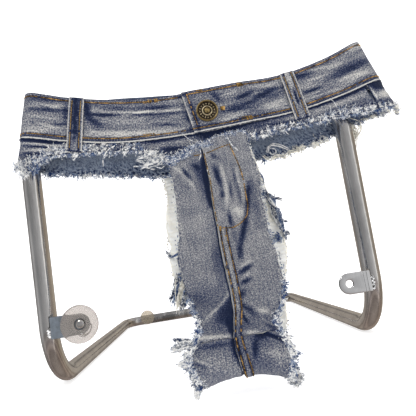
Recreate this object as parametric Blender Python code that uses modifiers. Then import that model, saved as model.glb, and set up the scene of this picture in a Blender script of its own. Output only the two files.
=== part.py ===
"""Ripped denim micro shorts stretched over a free-standing stand of bent steel tube.

Run in Blender: every named solid goes into the collection "ripped_shorts_on_stand".
Units are metres, +Z is up, +X is the viewer's right and +Y points away from the viewer.
Shapes are worked out in the stand's own frame (X 0 midway between its uprights, Y 0 at its
front corners, Z 0 on the floor). A parent empty then puts the origin under the middle of
the whole object.

The cloth is built the way it is cut and sewn: a contoured waistband in three lengths, torn
strips hanging from it, and a narrow centre panel that runs down the front, folds under and
climbs back up to the back of the waistband.
"""

import math
from collections import namedtuple

import bmesh
import bpy
from mathutils import Matrix, Vector

# ---------------------------------------------------------------- driving sizes, stand
TUBE_RADIUS = 0.0085
TUBE_SIDES = 12
FRONT_HALF_WIDTH = 0.1546
REAR_HALF_WIDTH = 0.1664
BASE_DEPTH = 0.4658
TOP_RAIL_HEIGHT = 0.238
UPRIGHT_LEAN = math.tan(math.radians(4.3))
UPRIGHT_TOE_IN = math.tan(math.radians(0.72))
LOWER_BEND_RADIUS = 0.057
TOP_BEND_RADIUS = 0.035
REAR_BEND_RADIUS = 0.032
BEND_STEPS = 8
BEND_TAIL = 0.003

TAB_WIDTH = 0.0195
TAB_THICKNESS = 0.0025
TAB_ROOT_X = 0.1485
TAB_HOLE_RADIUS = 0.0036
TAB_ARC_STEPS = 12
BUMPER_RADIUS = 0.017
BUMPER_BORE_RADIUS = 0.0052
BUMPER_THICKNESS = 0.006
BUMPER_EDGE = 0.0018
SCREW_HEAD_RADIUS = 0.0044
SCREW_HEAD_HEIGHT = 0.002
SCREW_SHANK_RADIUS = 0.003
REAR_BUMPER_RADIUS = 0.0135
REAR_BUMPER_INSET = 0.042
REAR_BUMPER_HEIGHT = 0.0138

# ---------------------------------------------------------------- driving sizes, cloth
GAP = 0.0003
BAND_THICKNESS = 0.0024
DENIM_THICKNESS = 0.0014
LINING_THICKNESS = 0.001
LOOP_THICKNESS = 0.0018

CENTRE_X = 0.017
MIDDLE_Y = -0.0173
FOLD_RADIUS = 0.0147
HALF_TOP = 0.166
FLARE = 0.009
BAND_LEAN = 0.0045
FRONT_BULGE = 0.005
BACK_BULGE = 0.003
HANG_LEAN = 0.12

OVERLAP_LIFT = BAND_THICKNESS + GAP
OVERLAP_START = -0.085
OVERLAP_SLANT = 0.03
UNDERLAP_END = 0.165
OVERLAP_FADE_END = 0.36

BELT_LOOP_WIDTH = 0.0135
BELT_LOOP_TOP = 0.02
BELT_LOOP_BOTTOM = 1.22
BELT_LOOP_ROWS = 10

SEAM_IN_ACROSS = 0.0015
FOLD_STARTS = 0.86

BUTTON_ACROSS = 0.012
BUTTON_DROP = 0.56
BUTTON_RADIUS = 0.0102
BUTTON_STEPS = 24

Tab = namedtuple("Tab", "name side tip_x height")
TABS = (
    Tab("tab_left", -1.0, 0.1115, 0.0590),
    Tab("tab_right", 1.0, 0.1180, 0.0556),
)

Waist = namedtuple("Waist", "place front_top back_top height")
WAISTLINE = (
    Waist(-1.0, 0.2790, 0.2790, 0.0435),
    Waist(-0.75, 0.2665, 0.2735, 0.0418),
    Waist(-0.5, 0.2570, 0.2720, 0.0413),
    Waist(-0.25, 0.2525, 0.2690, 0.0398),
    Waist(0.0, 0.2535, 0.2665, 0.0401),
    Waist(0.25, 0.2557, 0.2665, 0.0392),
    Waist(0.5, 0.2590, 0.2700, 0.0378),
    Waist(0.75, 0.2697, 0.2785, 0.0387),
    Waist(1.0, 0.2850, 0.2850, 0.0417),
)

Hang = namedtuple("Hang", "across depth")
LEFT_STRIP = (
    Hang(-0.925, 0.0255),
    Hang(-0.77, 0.0145),
    Hang(-0.56, 0.0085),
    Hang(-0.36, 0.0085),
    Hang(-0.24, 0.020),
    Hang(-0.05, 0.022),
)
RIGHT_STRIP = (
    Hang(-0.05, 0.022),
    Hang(0.13, 0.0165),
    Hang(0.22, 0.0145),
    Hang(0.39, 0.0135),
    Hang(0.60, 0.0165),
    Hang(0.72, 0.0205),
    Hang(0.84, 0.0250),
)
RIGHT_SIDE_STRIP = (
    Hang(0.842, 0.0250),
    Hang(0.92, 0.0285),
    Hang(1.0, 0.0300),
)
BACK_STRIP = (
    Hang(-0.925, 0.022),
    Hang(-0.82, 0.028),
    Hang(-0.60, 0.0335),
    Hang(-0.40, 0.0395),
    Hang(-0.27, 0.0435),
    Hang(0.0, 0.041),
    Hang(0.27, 0.039),
    Hang(0.43, 0.038),
    Hang(0.64, 0.035),
    Hang(0.81, 0.029),
    Hang(1.0, 0.025),
)

Section = namedtuple("Section", "name y z left right")
CENTRE_LOOP = (
    Section("front top", -0.0392, 0.2080, -0.0235, 0.0510),
    Section("under the top", -0.0428, 0.1900, -0.0215, 0.0535),
    Section("upper front", -0.0480, 0.1650, -0.0190, 0.0560),
    Section("middle front", -0.0555, 0.1400, -0.0195, 0.0545),
    Section("foot of the fly", -0.0660, 0.1150, -0.0215, 0.0525),
    Section("lower front", -0.0800, 0.0900, -0.0230, 0.0540),
    Section("above the crotch", -0.0960, 0.0650, -0.0175, 0.0530),
    Section("narrowest", -0.1065, 0.0490, -0.0165, 0.0435),
    Section("crotch seam", -0.1125, 0.0400, -0.0215, 0.0405),
    Section("below the seam", -0.1172, 0.0285, -0.0275, 0.0465),
    Section("seat, front of fold", -0.1155, 0.0190, -0.0245, 0.0485),
    Section("seat, bottom of fold", -0.1040, 0.0135, -0.0200, 0.0480),
    Section("seat, back of fold", -0.0880, 0.0220, -0.0190, 0.0490),
    Section("seat, turning up", -0.0790, 0.0340, -0.0190, 0.0500),
    Section("lower back", -0.0650, 0.0520, -0.0220, 0.0540),
    Section("back above the fold", -0.0475, 0.0780, -0.0270, 0.0630),
    Section("middle back", -0.0345, 0.1030, -0.0300, 0.0690),
    Section("upper back", -0.0220, 0.1320, -0.0290, 0.0680),
    Section("below the back strip", -0.0100, 0.1640, -0.0265, 0.0630),
    Section("back top", -0.0045, 0.1815, -0.0280, 0.0600),
)
SEAM_ROW = 8
LINING_START_ROW = 13
FOLD_ROW = 11
SEAM_ACROSS = 0.47
CORNER_DROOP = 0.0055
RIGHT_CORNER_DROOP = 0.0015
RIGHT_CORNER_FORWARD = 0.009
CORNER_REACH = 2.2

Finish = namedtuple("Finish", "colour roughness metallic")
WASHED_DENIM = Finish((0.33, 0.38, 0.47), 0.9, 0.0)
DENIM_INSIDE = Finish((0.20, 0.27, 0.38), 0.9, 0.0)
CREAM_COTTON = Finish((0.80, 0.77, 0.68), 0.9, 0.0)
ANTIQUE_BRASS = Finish((0.45, 0.34, 0.16), 0.4, 0.9)
POLISHED_STEEL = Finish((0.60, 0.60, 0.58), 0.15, 1.0)
CLEAR_RUBBER = Finish((0.80, 0.72, 0.64), 0.3, 0.0)


# ---------------------------------------------------------------- small helpers
def clear_scene():
    """Remove every object that the file starts with."""
    for old in list(bpy.data.objects):
        bpy.data.objects.remove(old, do_unlink=True)


def make_material(name, finish):
    """A plain Principled material from one Finish row."""
    material = bpy.data.materials.new(name)
    material.use_nodes = True
    shader = material.node_tree.nodes["Principled BSDF"]
    shader.inputs["Base Color"].default_value = (*finish.colour, 1.0)
    shader.inputs["Roughness"].default_value = finish.roughness
    shader.inputs["Metallic"].default_value = finish.metallic
    return material


def add_object(name, data, finish, collection, root):
    """Put one named piece in the collection, under the root empty, with its own material."""
    piece = bpy.data.objects.new(name, data)
    piece.data.materials.append(make_material(name, finish))
    piece.parent = root
    collection.objects.link(piece)
    return piece


def blend(low, high, amount):
    """Straight-line mix of two numbers."""
    return low + (high - low) * amount


def ease(amount):
    """Smooth step from 0 to 1, held outside that range."""
    amount = min(1.0, max(0.0, amount))
    return amount * amount * (3.0 - 2.0 * amount)


def smooth_through(values, position):
    """Catmull-Rom value at a fractional position along a list of numbers."""
    last = len(values) - 1
    index = min(int(position), last - 1)
    t = position - index
    a, b = values[max(index - 1, 0)], values[index]
    c, d = values[index + 1], values[min(index + 2, last)]
    return 0.5 * (
        2.0 * b
        + (c - a) * t
        + (2.0 * a - 5.0 * b + 4.0 * c - d) * t * t
        + (3.0 * b - a - 3.0 * c + d) * t * t * t
    )


def table_value(rows, across):
    """Depth read from a Hang table at a place across the garment."""
    for low, high in zip(rows, rows[1:]):
        if across <= high.across:
            return blend(low.depth, high.depth, ease((across - low.across) / (high.across - low.across)))
    return rows[-1].depth


# ---------------------------------------------------------------- the waist, a flattened loop
def waistline(name, place):
    """One column of the WAISTLINE table, read smoothly at a place from -1 to 1 across."""
    position = (place + 1.0) / 2.0 * (len(WAISTLINE) - 1)
    return smooth_through([getattr(row, name) for row in WAISTLINE], position)


def waist_point(across, drop, back=False, below=0.0, out=0.0, folded=True):
    """A point on the waist loop.

    across runs from -1 at the left fold to 1 at the right fold, drop from 0 at the
    waistband's top edge to 1 at its lower edge, below is a length under that edge, and out
    moves the point off the surface. A strip that is torn open at the side isn't folded: it
    runs on straight.
    """
    full_drop = drop + below / WAISTLINE[len(WAISTLINE) // 2].height
    half = HALF_TOP + FLARE * full_drop
    straight = half - FOLD_RADIUS
    path = abs(across) * (straight + FOLD_RADIUS * math.pi / 2.0)
    side = math.copysign(1.0, across)
    if path <= straight:
        reach = path
        bulge = (BACK_BULGE if back else FRONT_BULGE) * (1.0 - (path / straight) ** 2)
        offset = FOLD_RADIUS + bulge
        normal_x, normal_y = 0.0, 1.0
    elif not folded:
        reach = path
        offset = FOLD_RADIUS
        normal_x, normal_y = 0.0, 1.0
    else:
        angle = (path - straight) / FOLD_RADIUS
        normal_x, normal_y = math.sin(angle), math.cos(angle)
        reach = straight + FOLD_RADIUS * normal_x
        offset = FOLD_RADIUS * normal_y
    facing = 1.0 if back else -1.0
    fraction = side * reach / half
    height = waistline("back_top" if back else "front_top", fraction)
    height -= waistline("height", fraction) * drop + below
    lean = HANG_LEAN * below * (1.0 - fraction**2)
    return Vector(
        (
            CENTRE_X + side * (reach + out * normal_x) + sideways_lean(across) * full_drop,
            MIDDLE_Y + facing * (offset + out * normal_y) - lean,
            height,
        )
    )


def sideways_lean(across):
    """How far the band's lower edge stands right of its upper edge, towards the right."""
    return BAND_LEAN * ease((across + 0.5) / 0.8)


def overlap_lift(across):
    """How far the buttonhole end stands off, over the end that carries the button."""
    return OVERLAP_LIFT * (1.0 - ease((across - UNDERLAP_END) / (OVERLAP_FADE_END - UNDERLAP_END)))


# ---------------------------------------------------------------- the centre panel's loop
def loop_column(name):
    """One column of the CENTRE_LOOP table."""
    return [getattr(row, name) for row in CENTRE_LOOP]


def loop_point(position, across):
    """Outer surface of the centre loop, position counting the rows of CENTRE_LOOP."""
    left = smooth_through(loop_column("left"), position)
    right = smooth_through(loop_column("right"), position)
    y = smooth_through(loop_column("y"), position)
    z = smooth_through(loop_column("z"), position)
    spread = (across - SEAM_ACROSS) / 0.5
    near_fold = ease(1.0 - abs(position - FOLD_ROW) / CORNER_REACH)
    to_right = max(0.0, spread) ** 2 * near_fold
    droop = CORNER_DROOP * spread**2 * near_fold + RIGHT_CORNER_DROOP * to_right
    return Vector((blend(left, right, across), y - RIGHT_CORNER_FORWARD * to_right, z - droop))


def loop_surface(position, across, out=0.0):
    """The centre loop's surface, moved out along its own normal."""
    step = 0.01
    low = loop_point(max(position - step, 0.0), across)
    high = loop_point(min(position + step, len(CENTRE_LOOP) - 1.001), across)
    along = low - high
    sideways = loop_point(position, across + step) - loop_point(position, across - step)
    normal = sideways.cross(along).normalized()
    return loop_point(position, across) + normal * out


# ---------------------------------------------------------------- cloth pieces
def cloth_piece(name, surface, columns, rows, thickness, finish, collection, root):
    """A grid laid on surface(u, v), u to the right and v upwards as seen from outside.

    The grid is the outer face, and Solidify gives it its wall inwards.
    """
    mesh = bpy.data.meshes.new(name)
    grid = bmesh.new()
    bmesh.ops.create_grid(grid, x_segments=columns, y_segments=rows, size=0.5)
    for vertex in grid.verts:
        vertex.co = surface(vertex.co.x + 0.5, vertex.co.y + 0.5)
    grid.to_mesh(mesh)
    grid.free()
    piece = add_object(name, mesh, finish, collection, root)
    wall = piece.modifiers.new("wall", "SOLIDIFY")
    wall.thickness = thickness
    wall.offset = -1.0
    return piece


def read_stations(stations, u):
    """Straight-line reading of (u, across) stations, so that columns can crowd at a fold."""
    for (low_u, low), (high_u, high) in zip(stations, stations[1:]):
        if u <= high_u:
            return blend(low, high, (u - low_u) / (high_u - low_u))
    return stations[-1][1]


def build_waistband(collection, root):
    """The band in three lengths: the button end, the buttonhole end and the back."""
    end = 1.0 - 2.0 * SEAM_IN_ACROSS
    to_button = ((0.0, -end), (0.25, -FOLD_STARTS), (1.0, UNDERLAP_END))
    from_buttonhole = ((0.0, OVERLAP_START), (0.8, FOLD_STARTS), (1.0, end))
    round_back = ((0.0, end), (0.15, FOLD_STARTS), (0.85, -FOLD_STARTS), (1.0, -end))

    def button_end(u, v):
        return waist_point(read_stations(to_button, u), 1.0 - v)

    def buttonhole_end(u, v):
        across = read_stations(from_buttonhole, u) - OVERLAP_SLANT * (1.0 - u) * (v - 0.5)
        return waist_point(across, 1.0 - v, out=overlap_lift(across))

    def back(u, v):
        return waist_point(read_stations(round_back, u), 1.0 - v, back=True)

    for name, surface, columns in (
        ("waistband_button_end", button_end, 30),
        ("waistband_buttonhole_end", buttonhole_end, 36),
        ("waistband_back", back, 48),
    ):
        cloth_piece(name, surface, columns, 3, BAND_THICKNESS, WASHED_DENIM, collection, root)


def hanging_strip(table, back=False):
    """Surface of a torn strip that hangs from the band down to its table's depth."""
    start = table[0].across + SEAM_IN_ACROSS
    end = table[-1].across - SEAM_IN_ACROSS
    stations = ((0.0, start), (0.84, FOLD_STARTS), (1.0, end))
    if end < FOLD_STARTS or start > FOLD_STARTS - SEAM_IN_ACROSS - 0.02:
        stations = ((0.0, start), (1.0, end))

    def surface(u, v):
        across = read_stations(stations, 1.0 - u if back else u)
        depth = blend(table_value(table, across), GAP, v)
        folded = across > 0.0
        return waist_point(across, 1.0, back=back, below=depth, out=-2.0 * GAP, folded=folded)

    return surface


def build_strips(collection, root):
    """The torn strips left of the fronts, the side and the back."""
    for name, table, columns, back in (
        ("front_strip_left", LEFT_STRIP, 24, False),
        ("front_strip_right", RIGHT_STRIP, 24, False),
        ("side_strip_right", RIGHT_SIDE_STRIP, 10, False),
        ("back_strip", BACK_STRIP, 44, True),
    ):
        finish = DENIM_INSIDE if back else WASHED_DENIM
        surface = hanging_strip(table, back)
        cloth_piece(name, surface, columns, 3, DENIM_THICKNESS, finish, collection, root)


def loop_piece(first_row, last_row, left, right, out=0.0):
    """Surface of one panel of the centre loop between two rows and two lines across it."""
    margin = 0.02

    def surface(u, v):
        position = blend(last_row - margin, first_row + margin, v)
        return loop_surface(position, blend(left, right, u), out)

    return surface


def build_centre(collection, root):
    """Front panels, seat panels and the cream lining inside the seat."""
    half_seam = 0.002
    last = len(CENTRE_LOOP) - 1
    left_of_seam = SEAM_ACROSS - half_seam
    right_of_seam = SEAM_ACROSS + half_seam
    for name, first_row, last_row, left, right, rows in (
        ("front_panel_left", 0, SEAM_ROW, 0.0, left_of_seam, 22),
        ("front_panel_right", 0, SEAM_ROW, right_of_seam, 1.0, 22),
        ("seat_panel_left", SEAM_ROW, last, 0.0, left_of_seam, 34),
        ("seat_panel_right", SEAM_ROW, last, right_of_seam, 1.0, 34),
    ):
        surface = loop_piece(first_row, last_row, left, right)
        cloth_piece(name, surface, 8, rows, DENIM_THICKNESS, WASHED_DENIM, collection, root)
    behind = -(DENIM_THICKNESS + GAP)
    lining = loop_piece(LINING_START_ROW, last, 0.0, 1.0, behind)
    cloth_piece("seat_lining", lining, 12, 20, LINING_THICKNESS, CREAM_COTTON, collection, root)


def build_belt_loops(collection, root):
    """Belt loops: two in front, three plain ones behind."""
    half_width = BELT_LOOP_WIDTH / (HALF_TOP * 2.0)
    for name, middle, back in (
        ("belt_loop_front_left", -0.665, False),
        ("belt_loop_front_right", 0.475, False),
        ("belt_loop_back_left", -0.62, True),
        ("belt_loop_back_middle", 0.0, True),
        ("belt_loop_back_right", 0.62, True),
    ):

        def surface(u, v, middle=middle, back=back):
            reach = blend(half_width, -half_width, u) if back else blend(-half_width, half_width, u)
            drop = blend(BELT_LOOP_BOTTOM, BELT_LOOP_TOP, v)
            return waist_point(middle + reach, drop, back=back, out=LOOP_THICKNESS + GAP)

        cloth_piece(name, surface, 2, BELT_LOOP_ROWS, LOOP_THICKNESS, WASHED_DENIM, collection, root)


def build_button(collection, root):
    """Shank button: a rolled rim round a sunk ring and a flat boss, turned about its axis."""
    radius = BUTTON_RADIUS
    profile = (
        (0.0, 0.0034),
        (0.30, 0.0034),
        (0.34, 0.0022),
        (0.80, 0.0022),
        (0.86, 0.0034),
        (0.95, 0.0034),
        (1.0, 0.0022),
        (0.96, 0.0008),
        (0.60, 0.0),
        (0.0, 0.0),
    )
    profile = [(radius * r, z) for r, z in profile]
    piece = turned_piece("button", profile, BUTTON_STEPS, ANTIQUE_BRASS, collection, root)
    seat = waist_point(BUTTON_ACROSS, BUTTON_DROP, out=OVERLAP_LIFT + GAP)
    piece.matrix_local = Matrix.Translation(seat) @ Matrix.Rotation(math.radians(90.0), 4, "X")


# ---------------------------------------------------------------- the stand
def stand_corners():
    """Corners of the closed tube loop, each with its bend radius."""
    rise = TOP_RAIL_HEIGHT - TUBE_RADIUS
    top_y = -UPRIGHT_LEAN * rise
    top_x = FRONT_HALF_WIDTH - UPRIGHT_TOE_IN * rise
    low = TUBE_RADIUS
    return (
        ("lower_left", Vector((-FRONT_HALF_WIDTH, 0.0, low)), LOWER_BEND_RADIUS),
        ("top_left", Vector((-top_x, top_y, TOP_RAIL_HEIGHT)), TOP_BEND_RADIUS),
        ("top_right", Vector((top_x, top_y, TOP_RAIL_HEIGHT)), TOP_BEND_RADIUS),
        ("lower_right", Vector((FRONT_HALF_WIDTH, 0.0, low)), LOWER_BEND_RADIUS),
        ("rear_right", Vector((REAR_HALF_WIDTH, BASE_DEPTH, low)), REAR_BEND_RADIUS),
        ("rear_left", Vector((-REAR_HALF_WIDTH, BASE_DEPTH, low)), REAR_BEND_RADIUS),
    )


def bend_points(before, corner, after, radius):
    """Arc that rounds a corner, with a short straight tail before and after it."""
    towards, away = (before - corner).normalized(), (after - corner).normalized()
    half_angle = towards.angle(away) / 2.0
    centre = corner + (towards + away).normalized() * (radius / math.sin(half_angle))
    start = corner + towards * (radius / math.tan(half_angle)) - centre
    end = corner + away * (radius / math.tan(half_angle)) - centre
    sweep = start.angle(end)
    points = []
    for step in range(BEND_STEPS + 1):
        t = step / BEND_STEPS
        low, high = math.sin((1.0 - t) * sweep), math.sin(t * sweep)
        points.append(centre + (start * low + end * high) / math.sin(sweep))
    points.insert(0, points[0] + towards * BEND_TAIL)
    points.append(points[-1] + away * BEND_TAIL)
    return points


def tube(name, points, collection, root):
    """A length of tube as a beveled curve, its flats the tube's diameter apart."""
    curve = bpy.data.curves.new(name, "CURVE")
    curve.dimensions = "3D"
    curve.twist_mode = "Z_UP"
    curve.bevel_depth = TUBE_RADIUS / math.cos(math.pi / TUBE_SIDES)
    curve.bevel_resolution = TUBE_SIDES // 2 - 2
    curve.use_fill_caps = True
    spline = curve.splines.new("POLY")
    spline.points.add(len(points) - 1)
    for knot, point in zip(spline.points, points):
        knot.co = (*point, 1.0)
        knot.tilt = math.pi / TUBE_SIDES
    return add_object(name, curve, POLISHED_STEEL, collection, root)


def build_tubes(collection, root):
    """Straight lengths and bends round the closed loop, 0.3 mm apart."""
    corners = stand_corners()
    straight_names = (
        "upright_left",
        "top_rail",
        "upright_right",
        "side_rail_right",
        "rear_rail",
        "side_rail_left",
    )
    count = len(corners)
    arcs = []
    for index, (name, corner, radius) in enumerate(corners):
        before, after = corners[index - 1][1], corners[(index + 1) % count][1]
        arc = bend_points(before, corner, after, radius)
        arcs.append(arc)
        tube(f"bend_{name}", arc, collection, root)
    for index, name in enumerate(straight_names):
        start, end = arcs[index][-1], arcs[(index + 1) % count][0]
        trim = (end - start).normalized() * GAP
        tube(name, [start + trim, end - trim], collection, root)


def upright_y(height):
    """Y of an upright's axis at a height."""
    return -UPRIGHT_LEAN * (height - TUBE_RADIUS)


def hole_x(tab):
    """X of a tab's screw hole, which is the centre of its round tip."""
    return tab.side * (tab.tip_x + TAB_WIDTH / 2.0)


def plate_outline(tab):
    """Outline of a tab in its own plane, round at the tip, square at the weld."""
    half = TAB_WIDTH / 2.0
    outline = [(tab.side * TAB_ROOT_X, -half), (tab.side * TAB_ROOT_X, half)]
    for step in range(TAB_ARC_STEPS + 1):
        angle = math.pi / 2.0 + math.pi * step / TAB_ARC_STEPS
        outline.append((hole_x(tab) + tab.side * half * math.cos(angle), half * math.sin(angle)))
    return outline


def hole_outline(tab):
    """Outline of a tab's screw hole."""
    centre = hole_x(tab)
    steps = 2 * TAB_ARC_STEPS
    turns = [2.0 * math.pi * step / steps for step in range(steps)]
    return [(centre + TAB_HOLE_RADIUS * math.cos(a), TAB_HOLE_RADIUS * math.sin(a)) for a in turns]


def tab_front_y(tab):
    """Y of a tab's front face. Its back lies just in front of the upright."""
    tangent = TUBE_RADIUS / math.cos(math.pi / TUBE_SIDES) + GAP
    furthest_forward = upright_y(tab.height + TAB_WIDTH / 2.0)
    return furthest_forward - tangent - TAB_THICKNESS


def build_tabs(collection, root):
    """The two screw tabs that face the viewer, one on each upright."""
    for tab in TABS:
        curve = bpy.data.curves.new(tab.name, "CURVE")
        curve.dimensions = "2D"
        curve.fill_mode = "BOTH"
        curve.extrude = TAB_THICKNESS / 2.0
        for outline in (plate_outline(tab), hole_outline(tab)):
            spline = curve.splines.new("POLY")
            spline.use_cyclic_u = True
            spline.points.add(len(outline) - 1)
            for knot, (x, z) in zip(spline.points, outline):
                knot.co = (x, z, 0.0, 1.0)
        piece = add_object(tab.name, curve, POLISHED_STEEL, collection, root)
        middle = Vector((0.0, tab_front_y(tab) + TAB_THICKNESS / 2.0, tab.height))
        piece.matrix_local = Matrix.Translation(middle) @ Matrix.Rotation(math.radians(90.0), 4, "X")


def turned_piece(name, profile, steps, finish, collection, root):
    """A closed profile (radius, height) turned about its own Z axis."""
    mesh = bpy.data.meshes.new(name)
    outline = bmesh.new()
    points = [outline.verts.new((r, 0.0, z)) for r, z in profile]
    for start, end in zip(points, points[1:]):
        outline.edges.new((start, end))
    if profile[0][0] > 0.0:
        outline.edges.new((points[-1], points[0]))
    outline.to_mesh(mesh)
    outline.free()
    piece = add_object(name, mesh, finish, collection, root)
    turn = piece.modifiers.new("turn", "SCREW")
    turn.steps = steps
    turn.render_steps = steps
    turn.use_merge_vertices = True
    turn.merge_threshold = 0.00001
    return piece


def build_bumpers(collection, root):
    """Clear round bumpers: a bored one screwed to the left tab, two plain ones at the rear."""
    thick, edge = BUMPER_THICKNESS, BUMPER_EDGE
    disc = (
        (0.0, thick),
        (REAR_BUMPER_RADIUS - edge, thick),
        (REAR_BUMPER_RADIUS, thick - edge),
        (REAR_BUMPER_RADIUS, 0.0),
        (0.0, 0.0),
    )
    ring = (
        (BUMPER_BORE_RADIUS, thick),
        (BUMPER_RADIUS - edge, thick),
        (BUMPER_RADIUS, thick - edge),
        (BUMPER_RADIUS, 0.0),
        (BUMPER_BORE_RADIUS, 0.0),
    )
    screw = (
        (0.0, SCREW_HEAD_HEIGHT),
        (SCREW_HEAD_RADIUS * 0.8, SCREW_HEAD_HEIGHT),
        (SCREW_HEAD_RADIUS, SCREW_HEAD_HEIGHT * 0.6),
        (SCREW_HEAD_RADIUS, 0.0),
        (SCREW_SHANK_RADIUS, 0.0),
        (SCREW_SHANK_RADIUS, -2.0 * TAB_THICKNESS),
        (0.0, -2.0 * TAB_THICKNESS),
    )
    facing = Matrix.Rotation(math.radians(90.0), 4, "X")
    left_tab = TABS[0]
    left_face = Vector((hole_x(left_tab), tab_front_y(left_tab) - GAP, left_tab.height))
    rear_x = REAR_HALF_WIDTH - REAR_BUMPER_INSET
    rear_y = BASE_DEPTH - TUBE_RADIUS / math.cos(math.pi / TUBE_SIDES) - GAP
    places = (
        ("left", ring, left_face),
        ("rear_left", disc, Vector((-rear_x, rear_y, REAR_BUMPER_HEIGHT))),
        ("rear_right", disc, Vector((rear_x, rear_y, REAR_BUMPER_HEIGHT))),
    )
    for name, profile, place in places:
        piece = turned_piece(f"bumper_{name}", profile, 24, CLEAR_RUBBER, collection, root)
        piece.matrix_local = Matrix.Translation(place) @ facing
    piece = turned_piece("bumper_screw", screw, 16, POLISHED_STEEL, collection, root)
    piece.matrix_local = Matrix.Translation(left_face) @ facing


# ---------------------------------------------------------------- placing and assembly
def centre_on_floor(collection, root):
    """Move the root so that the origin lies under the middle of the whole object."""
    bpy.context.view_layer.update()
    shapes = bpy.context.evaluated_depsgraph_get()
    low, high = Vector((math.inf,) * 3), Vector((-math.inf,) * 3)
    for piece in collection.objects:
        if piece.type == "EMPTY":
            continue
        shape = piece.evaluated_get(shapes)
        mesh = shape.to_mesh()
        for vertex in mesh.vertices:
            point = piece.matrix_world @ vertex.co
            low = Vector(map(min, low, point))
            high = Vector(map(max, high, point))
        shape.to_mesh_clear()
    root.location = (-(low.x + high.x) / 2.0, -(low.y + high.y) / 2.0, -low.z)


def main():
    clear_scene()
    collection = bpy.data.collections.new("ripped_shorts_on_stand")
    bpy.context.scene.collection.children.link(collection)
    root = bpy.data.objects.new("stand_frame_origin", None)
    collection.objects.link(root)
    build_tubes(collection, root)
    build_tabs(collection, root)
    build_bumpers(collection, root)
    build_waistband(collection, root)
    build_strips(collection, root)
    build_centre(collection, root)
    build_belt_loops(collection, root)
    build_button(collection, root)
    centre_on_floor(collection, root)


main()
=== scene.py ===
"""Ripped denim micro shorts stretched over a stand of bent steel tube, as an add-on.

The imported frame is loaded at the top. Each operator makes one piece or one group of like
pieces of the real thing: the polished tube, its tabs and bumpers, the waistband, belt loops,
button, torn strips, centre panels, lining, seams, stitches, frays and the studio.

Cloth is worked out in the stand's own frame: X 0 midway between the uprights, Y 0 at the
stand's front corners, Z 0 on the floor, all in metres.
"""

import math
from collections import namedtuple

import bmesh
import bpy
import numpy as np
from mathutils import Matrix, Vector, noise
from mathutils.bvhtree import BVHTree


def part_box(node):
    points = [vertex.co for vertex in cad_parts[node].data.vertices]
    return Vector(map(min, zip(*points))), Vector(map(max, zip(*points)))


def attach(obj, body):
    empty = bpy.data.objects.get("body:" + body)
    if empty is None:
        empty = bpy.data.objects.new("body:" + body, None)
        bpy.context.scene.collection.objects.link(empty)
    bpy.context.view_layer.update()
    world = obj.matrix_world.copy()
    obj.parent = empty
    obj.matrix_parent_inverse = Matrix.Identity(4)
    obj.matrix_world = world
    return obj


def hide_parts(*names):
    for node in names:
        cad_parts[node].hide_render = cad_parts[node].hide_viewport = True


bl_info = {
    "name": "Ripped micro shorts on a tube stand",
    "version": (1, 0, 0),
    "blender": (4, 5, 0),
    "location": "3D View > Sidebar > Shorts",
    "description": "Builds ripped denim micro shorts over a free-standing stand of bent tube",
    "category": "Object",
}

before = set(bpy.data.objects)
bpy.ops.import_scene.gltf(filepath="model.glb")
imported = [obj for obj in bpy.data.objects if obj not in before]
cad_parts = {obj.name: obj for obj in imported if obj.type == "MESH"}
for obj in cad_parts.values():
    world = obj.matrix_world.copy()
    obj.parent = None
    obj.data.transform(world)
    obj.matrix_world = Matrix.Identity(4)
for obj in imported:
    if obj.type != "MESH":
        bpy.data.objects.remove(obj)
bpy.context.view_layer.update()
REAR_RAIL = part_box("rear_rail")
BASE_DEPTH = 0.4658
SHIFT = np.array(
    [
        (REAR_RAIL[0][0] + REAR_RAIL[1][0]) / 2.0,
        (REAR_RAIL[0][1] + REAR_RAIL[1][1]) / 2.0 - BASE_DEPTH,
        0.0,
    ]
)

# ---------------------------------------------------------------- the waist's and the loop's sizes
MM = 0.001
CENTRE_X = 0.017
MIDDLE_Y = -0.0173
FOLD_RADIUS = 0.0147
HALF_TOP = 0.166
FLARE = 0.009
BAND_LEAN = 0.0045
FRONT_BULGE = 0.005
BACK_BULGE = 0.003
HANG_LEAN = 0.12
HALF_PATH = 0.176
GAP = 0.0003
UNDERLAP_END = 0.165
OVERLAP_FADE_END = 0.36
OVERLAP_START = -0.085
OVERLAP_SLANT = 0.03
SPLIT_ACROSS = 0.47
BAND_WALL = 0.0024
BAND_HEIGHT = 0.040
STRIP_REACH = 0.016
MIDDLE_STATION = 4
FOLD_STARTS = 0.86

# how far the two corners at the fold droop and come forward, and how many rows that reaches
CORNER_DROOP = 0.0055
RIGHT_CORNER_DROOP = 0.0015
RIGHT_CORNER_FORWARD = 0.009
CORNER_REACH = 2.2

# the stand
FRONT_HALF_WIDTH = 0.1546
REAR_HALF_WIDTH = 0.1664
TOP_RAIL_HEIGHT = 0.238
UPRIGHT_LEAN = math.tan(math.radians(4.3))
UPRIGHT_TOE_IN = math.tan(math.radians(0.72))
LOWER_BEND, TOP_BEND, REAR_BEND = 0.057, 0.035, 0.032
BEND_STEPS = 24
TAB_WIDTH = 0.0195
TAB_THICKNESS = 0.0025
TAB_ROOT = 0.1485
TAB_HOLE_RADIUS = 0.0036
# each tab: its name, its side, how far out its round end starts and how high it sits
TABS = (("tab_left", -1.0, 0.1115, 0.0590), ("tab_right", 1.0, 0.1180, 0.0556))
ROUND_STEPS = 48
# the tube's flat facets, on which tabs and bumpers seat, are this much farther out than its round
FACET = 1.0 / math.cos(math.pi / 12.0)

Waist = namedtuple("Waist", "front_top back_top height")
WAISTLINE = Waist(
    front_top=(0.2790, 0.2665, 0.2570, 0.2525, 0.2535, 0.2557, 0.2590, 0.2697, 0.2850),
    back_top=(0.2790, 0.2735, 0.2720, 0.2690, 0.2665, 0.2665, 0.2700, 0.2785, 0.2850),
    height=(0.0435, 0.0418, 0.0413, 0.0398, 0.0401, 0.0392, 0.0378, 0.0387, 0.0417),
)

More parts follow.
